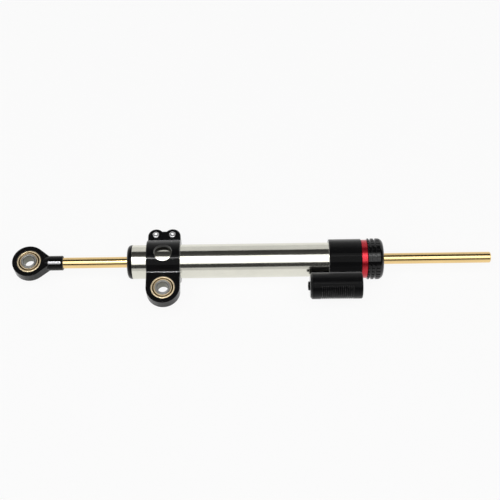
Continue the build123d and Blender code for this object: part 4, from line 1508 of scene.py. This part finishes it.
@dataclass
class Studio:
    """Floor, backdrops, lamps and camera.

    Attributes:
        floor_colour: Colour of the floor and backdrops.
        mottle: Size of the paper's soft patches in millimetres.
        mottle_dark: Their darkest tint as a share of that colour.
        glow: Share of plain white in what the camera and mirror surfaces see of the floor.
        gloom: Brightness of the room between the lamps.
        lens: Focal length in millimetres.
        sensor: Width of the camera's sensor in millimetres.
        clip: Nearest and farthest distance that the camera sees, in metres.
        distance: From the camera to its target in millimetres.
        elevation: Height of the camera in degrees.
        target: What the camera looks at, in millimetres.
        roll: Turn of the camera in degrees.
        aim: What the lamps face, in millimetres.
        drop: How far the floor lies under the damper, in millimetres.
        floor_half: Half of the floor's side in metres.
        wall_half: Half of a wall's length in metres.
        back_wall: Place along Y and height of the top of the wall behind the damper, in metres.
        front_wall: The same of the wall in front of it.
        wall_glow: The walls' own glow.
        lamps: The lamps.
    """

    floor_colour: Colour = (0.82, 0.82, 0.82)
    mottle: float = 400.0
    mottle_dark: float = 0.98
    glow: float = 0.92
    gloom: float = 0.045
    lens: float = 76.0
    sensor: float = 36.0
    clip: tuple[float, float] = (0.01, 50.0)
    distance: float = 775.0
    elevation: float = 62.0
    target: Place = (63.0, 31.6, -0.84)
    roll: float = -0.8
    aim: Place = (63.0, 25.0, 0.0)
    drop: float = 0.2
    floor_half: float = 6.0
    wall_half: float = 3.0
    back_wall: tuple[float, float] = (1.2, 1.1)
    front_wall: tuple[float, float] = (-2.0, 0.66)
    wall_glow: float = 0.62
    lamps: tuple[Softbox, ...] = (
        Softbox("overhead_softbox", 71.0, 50.0, 1.1, 2.6, 1.7),
        Softbox("overhead_strip", 82.0, 4.0, 1.05, 2.4, 3.2, only_mirrored=True),
        Softbox("clamp_strip", 82.0, 4.0, 1.05, 0.04, 450.0, along=-0.163, only_mirrored=True),
    )

    def paper(self, name: str, glow: float) -> bpy.types.Material:
        """Makes pale paper that camera, glossy and transmission rays see nearly white.

        Args:
            name: Name of the material.
            glow: Share of plain white that those rays see.

        Returns:
            The material.
        """
        tree = Tree(name)
        path = tree.node("ShaderNodeLightPath", {}, {})
        seen = path["Is Camera Ray"] + path["Is Glossy Ray"] + path["Is Transmission Ray"]
        mottle = tree.noise(tree.stretched((self.mottle,) * 3))
        tint = tree.tint(mottle, self.floor_colour, self.mottle_dark, (0.0, 1.0))
        matt = tree.node("ShaderNodeBsdfDiffuse", {}, {"Color": tint})
        white = tree.node("ShaderNodeEmission", {}, {"Color": WHITE, "Strength": 1.0})
        share = seen.clamped(0.0, 1.0) * glow
        mixed = tree.node("ShaderNodeMixShader", {}, {0: share, 1: matt[0], 2: white[0]})
        tree.output(mixed[0])
        return tree.material

    def panel(self, name: str, corners: Sequence[Place], paper: bpy.types.Material) -> None:
        """Puts up a flat panel of the stage.

        Args:
            name: Name of the panel.
            corners: Its four corners in metres.
            paper: Its material.
        """
        mesh = bpy.data.meshes.new(name)
        mesh.from_pydata(corners, [], [(0, 1, 2, 3)])
        mesh.materials.append(paper)
        panel = bpy.data.objects.new(name, mesh)
        bpy.context.scene.collection.objects.link(panel)

    def build(self) -> None:
        """Sets the stage round the damper."""
        low, _ = CAD_BOX
        ground = low[2] - self.drop * MM
        side, half = self.floor_half, self.wall_half
        floor = [(-side, -side, ground), (side, -side, ground), (side, side, ground), (-side, side, ground)]
        self.panel("floor", floor, self.paper("studio_floor", self.glow))
        wall_paper = self.paper("studio_wall", self.wall_glow)
        y, top = self.back_wall
        back = [(-half, y, ground), (-half, y, top), (half, y, top), (half, y, ground)]
        self.panel("back_wall", back, wall_paper)
        y, top = self.front_wall
        front = [(-half, y, ground), (half, y, ground), (half, y, top), (-half, y, top)]
        self.panel("front_wall", front, wall_paper)
        aim = Vector(self.aim) * MM
        for lamp in self.lamps:
            lamp.place(aim)
        world = bpy.data.worlds.new("studio_room")
        world.use_nodes = True
        background = world.node_tree.nodes["Background"]
        background.inputs["Color"].default_value = WHITE
        background.inputs["Strength"].default_value = self.gloom
        bpy.context.scene.world = world
        bpy.context.scene.view_settings.view_transform = "Standard"
        self.aim_camera()

    def aim_camera(self) -> None:
        """Stands the camera where the photograph was taken from."""
        data = bpy.data.cameras.new("photo_camera")
        data.lens = self.lens
        data.sensor_width = self.sensor
        data.clip_start, data.clip_end = self.clip
        angle = math.radians(self.elevation)
        target = Vector(self.target) * MM
        away = Vector((0.0, -math.cos(angle), math.sin(angle)))
        facing = away.to_track_quat("Z", "Y").to_matrix().to_4x4()
        camera = bpy.data.objects.new("photo_camera", data)
        camera.matrix_world = (
            Matrix.Translation(target + away * self.distance * MM)
            @ facing
            @ Matrix.Rotation(math.radians(self.roll), 4, "Z")
        )
        bpy.context.scene.collection.objects.link(camera)
        bpy.context.scene.camera = camera


def main() -> None:
    """Builds and dresses every sub-assembly in order, then sets the stage."""
    logging.basicConfig(level=logging.INFO, format="%(message)s")
    dress_nodes()
    bearing = Bearing()
    for part in (
        TubeAndCap(),
        Rod(),
        Reservoir(),
        ClickRing(),
        AdjusterKnob(),
        RodEye(bearing),
        Clamp(bearing),
    ):
        part.build()
        log.info("%s is built", type(part).__name__)
    Studio().build()


if __name__ == "__main__":
    main()
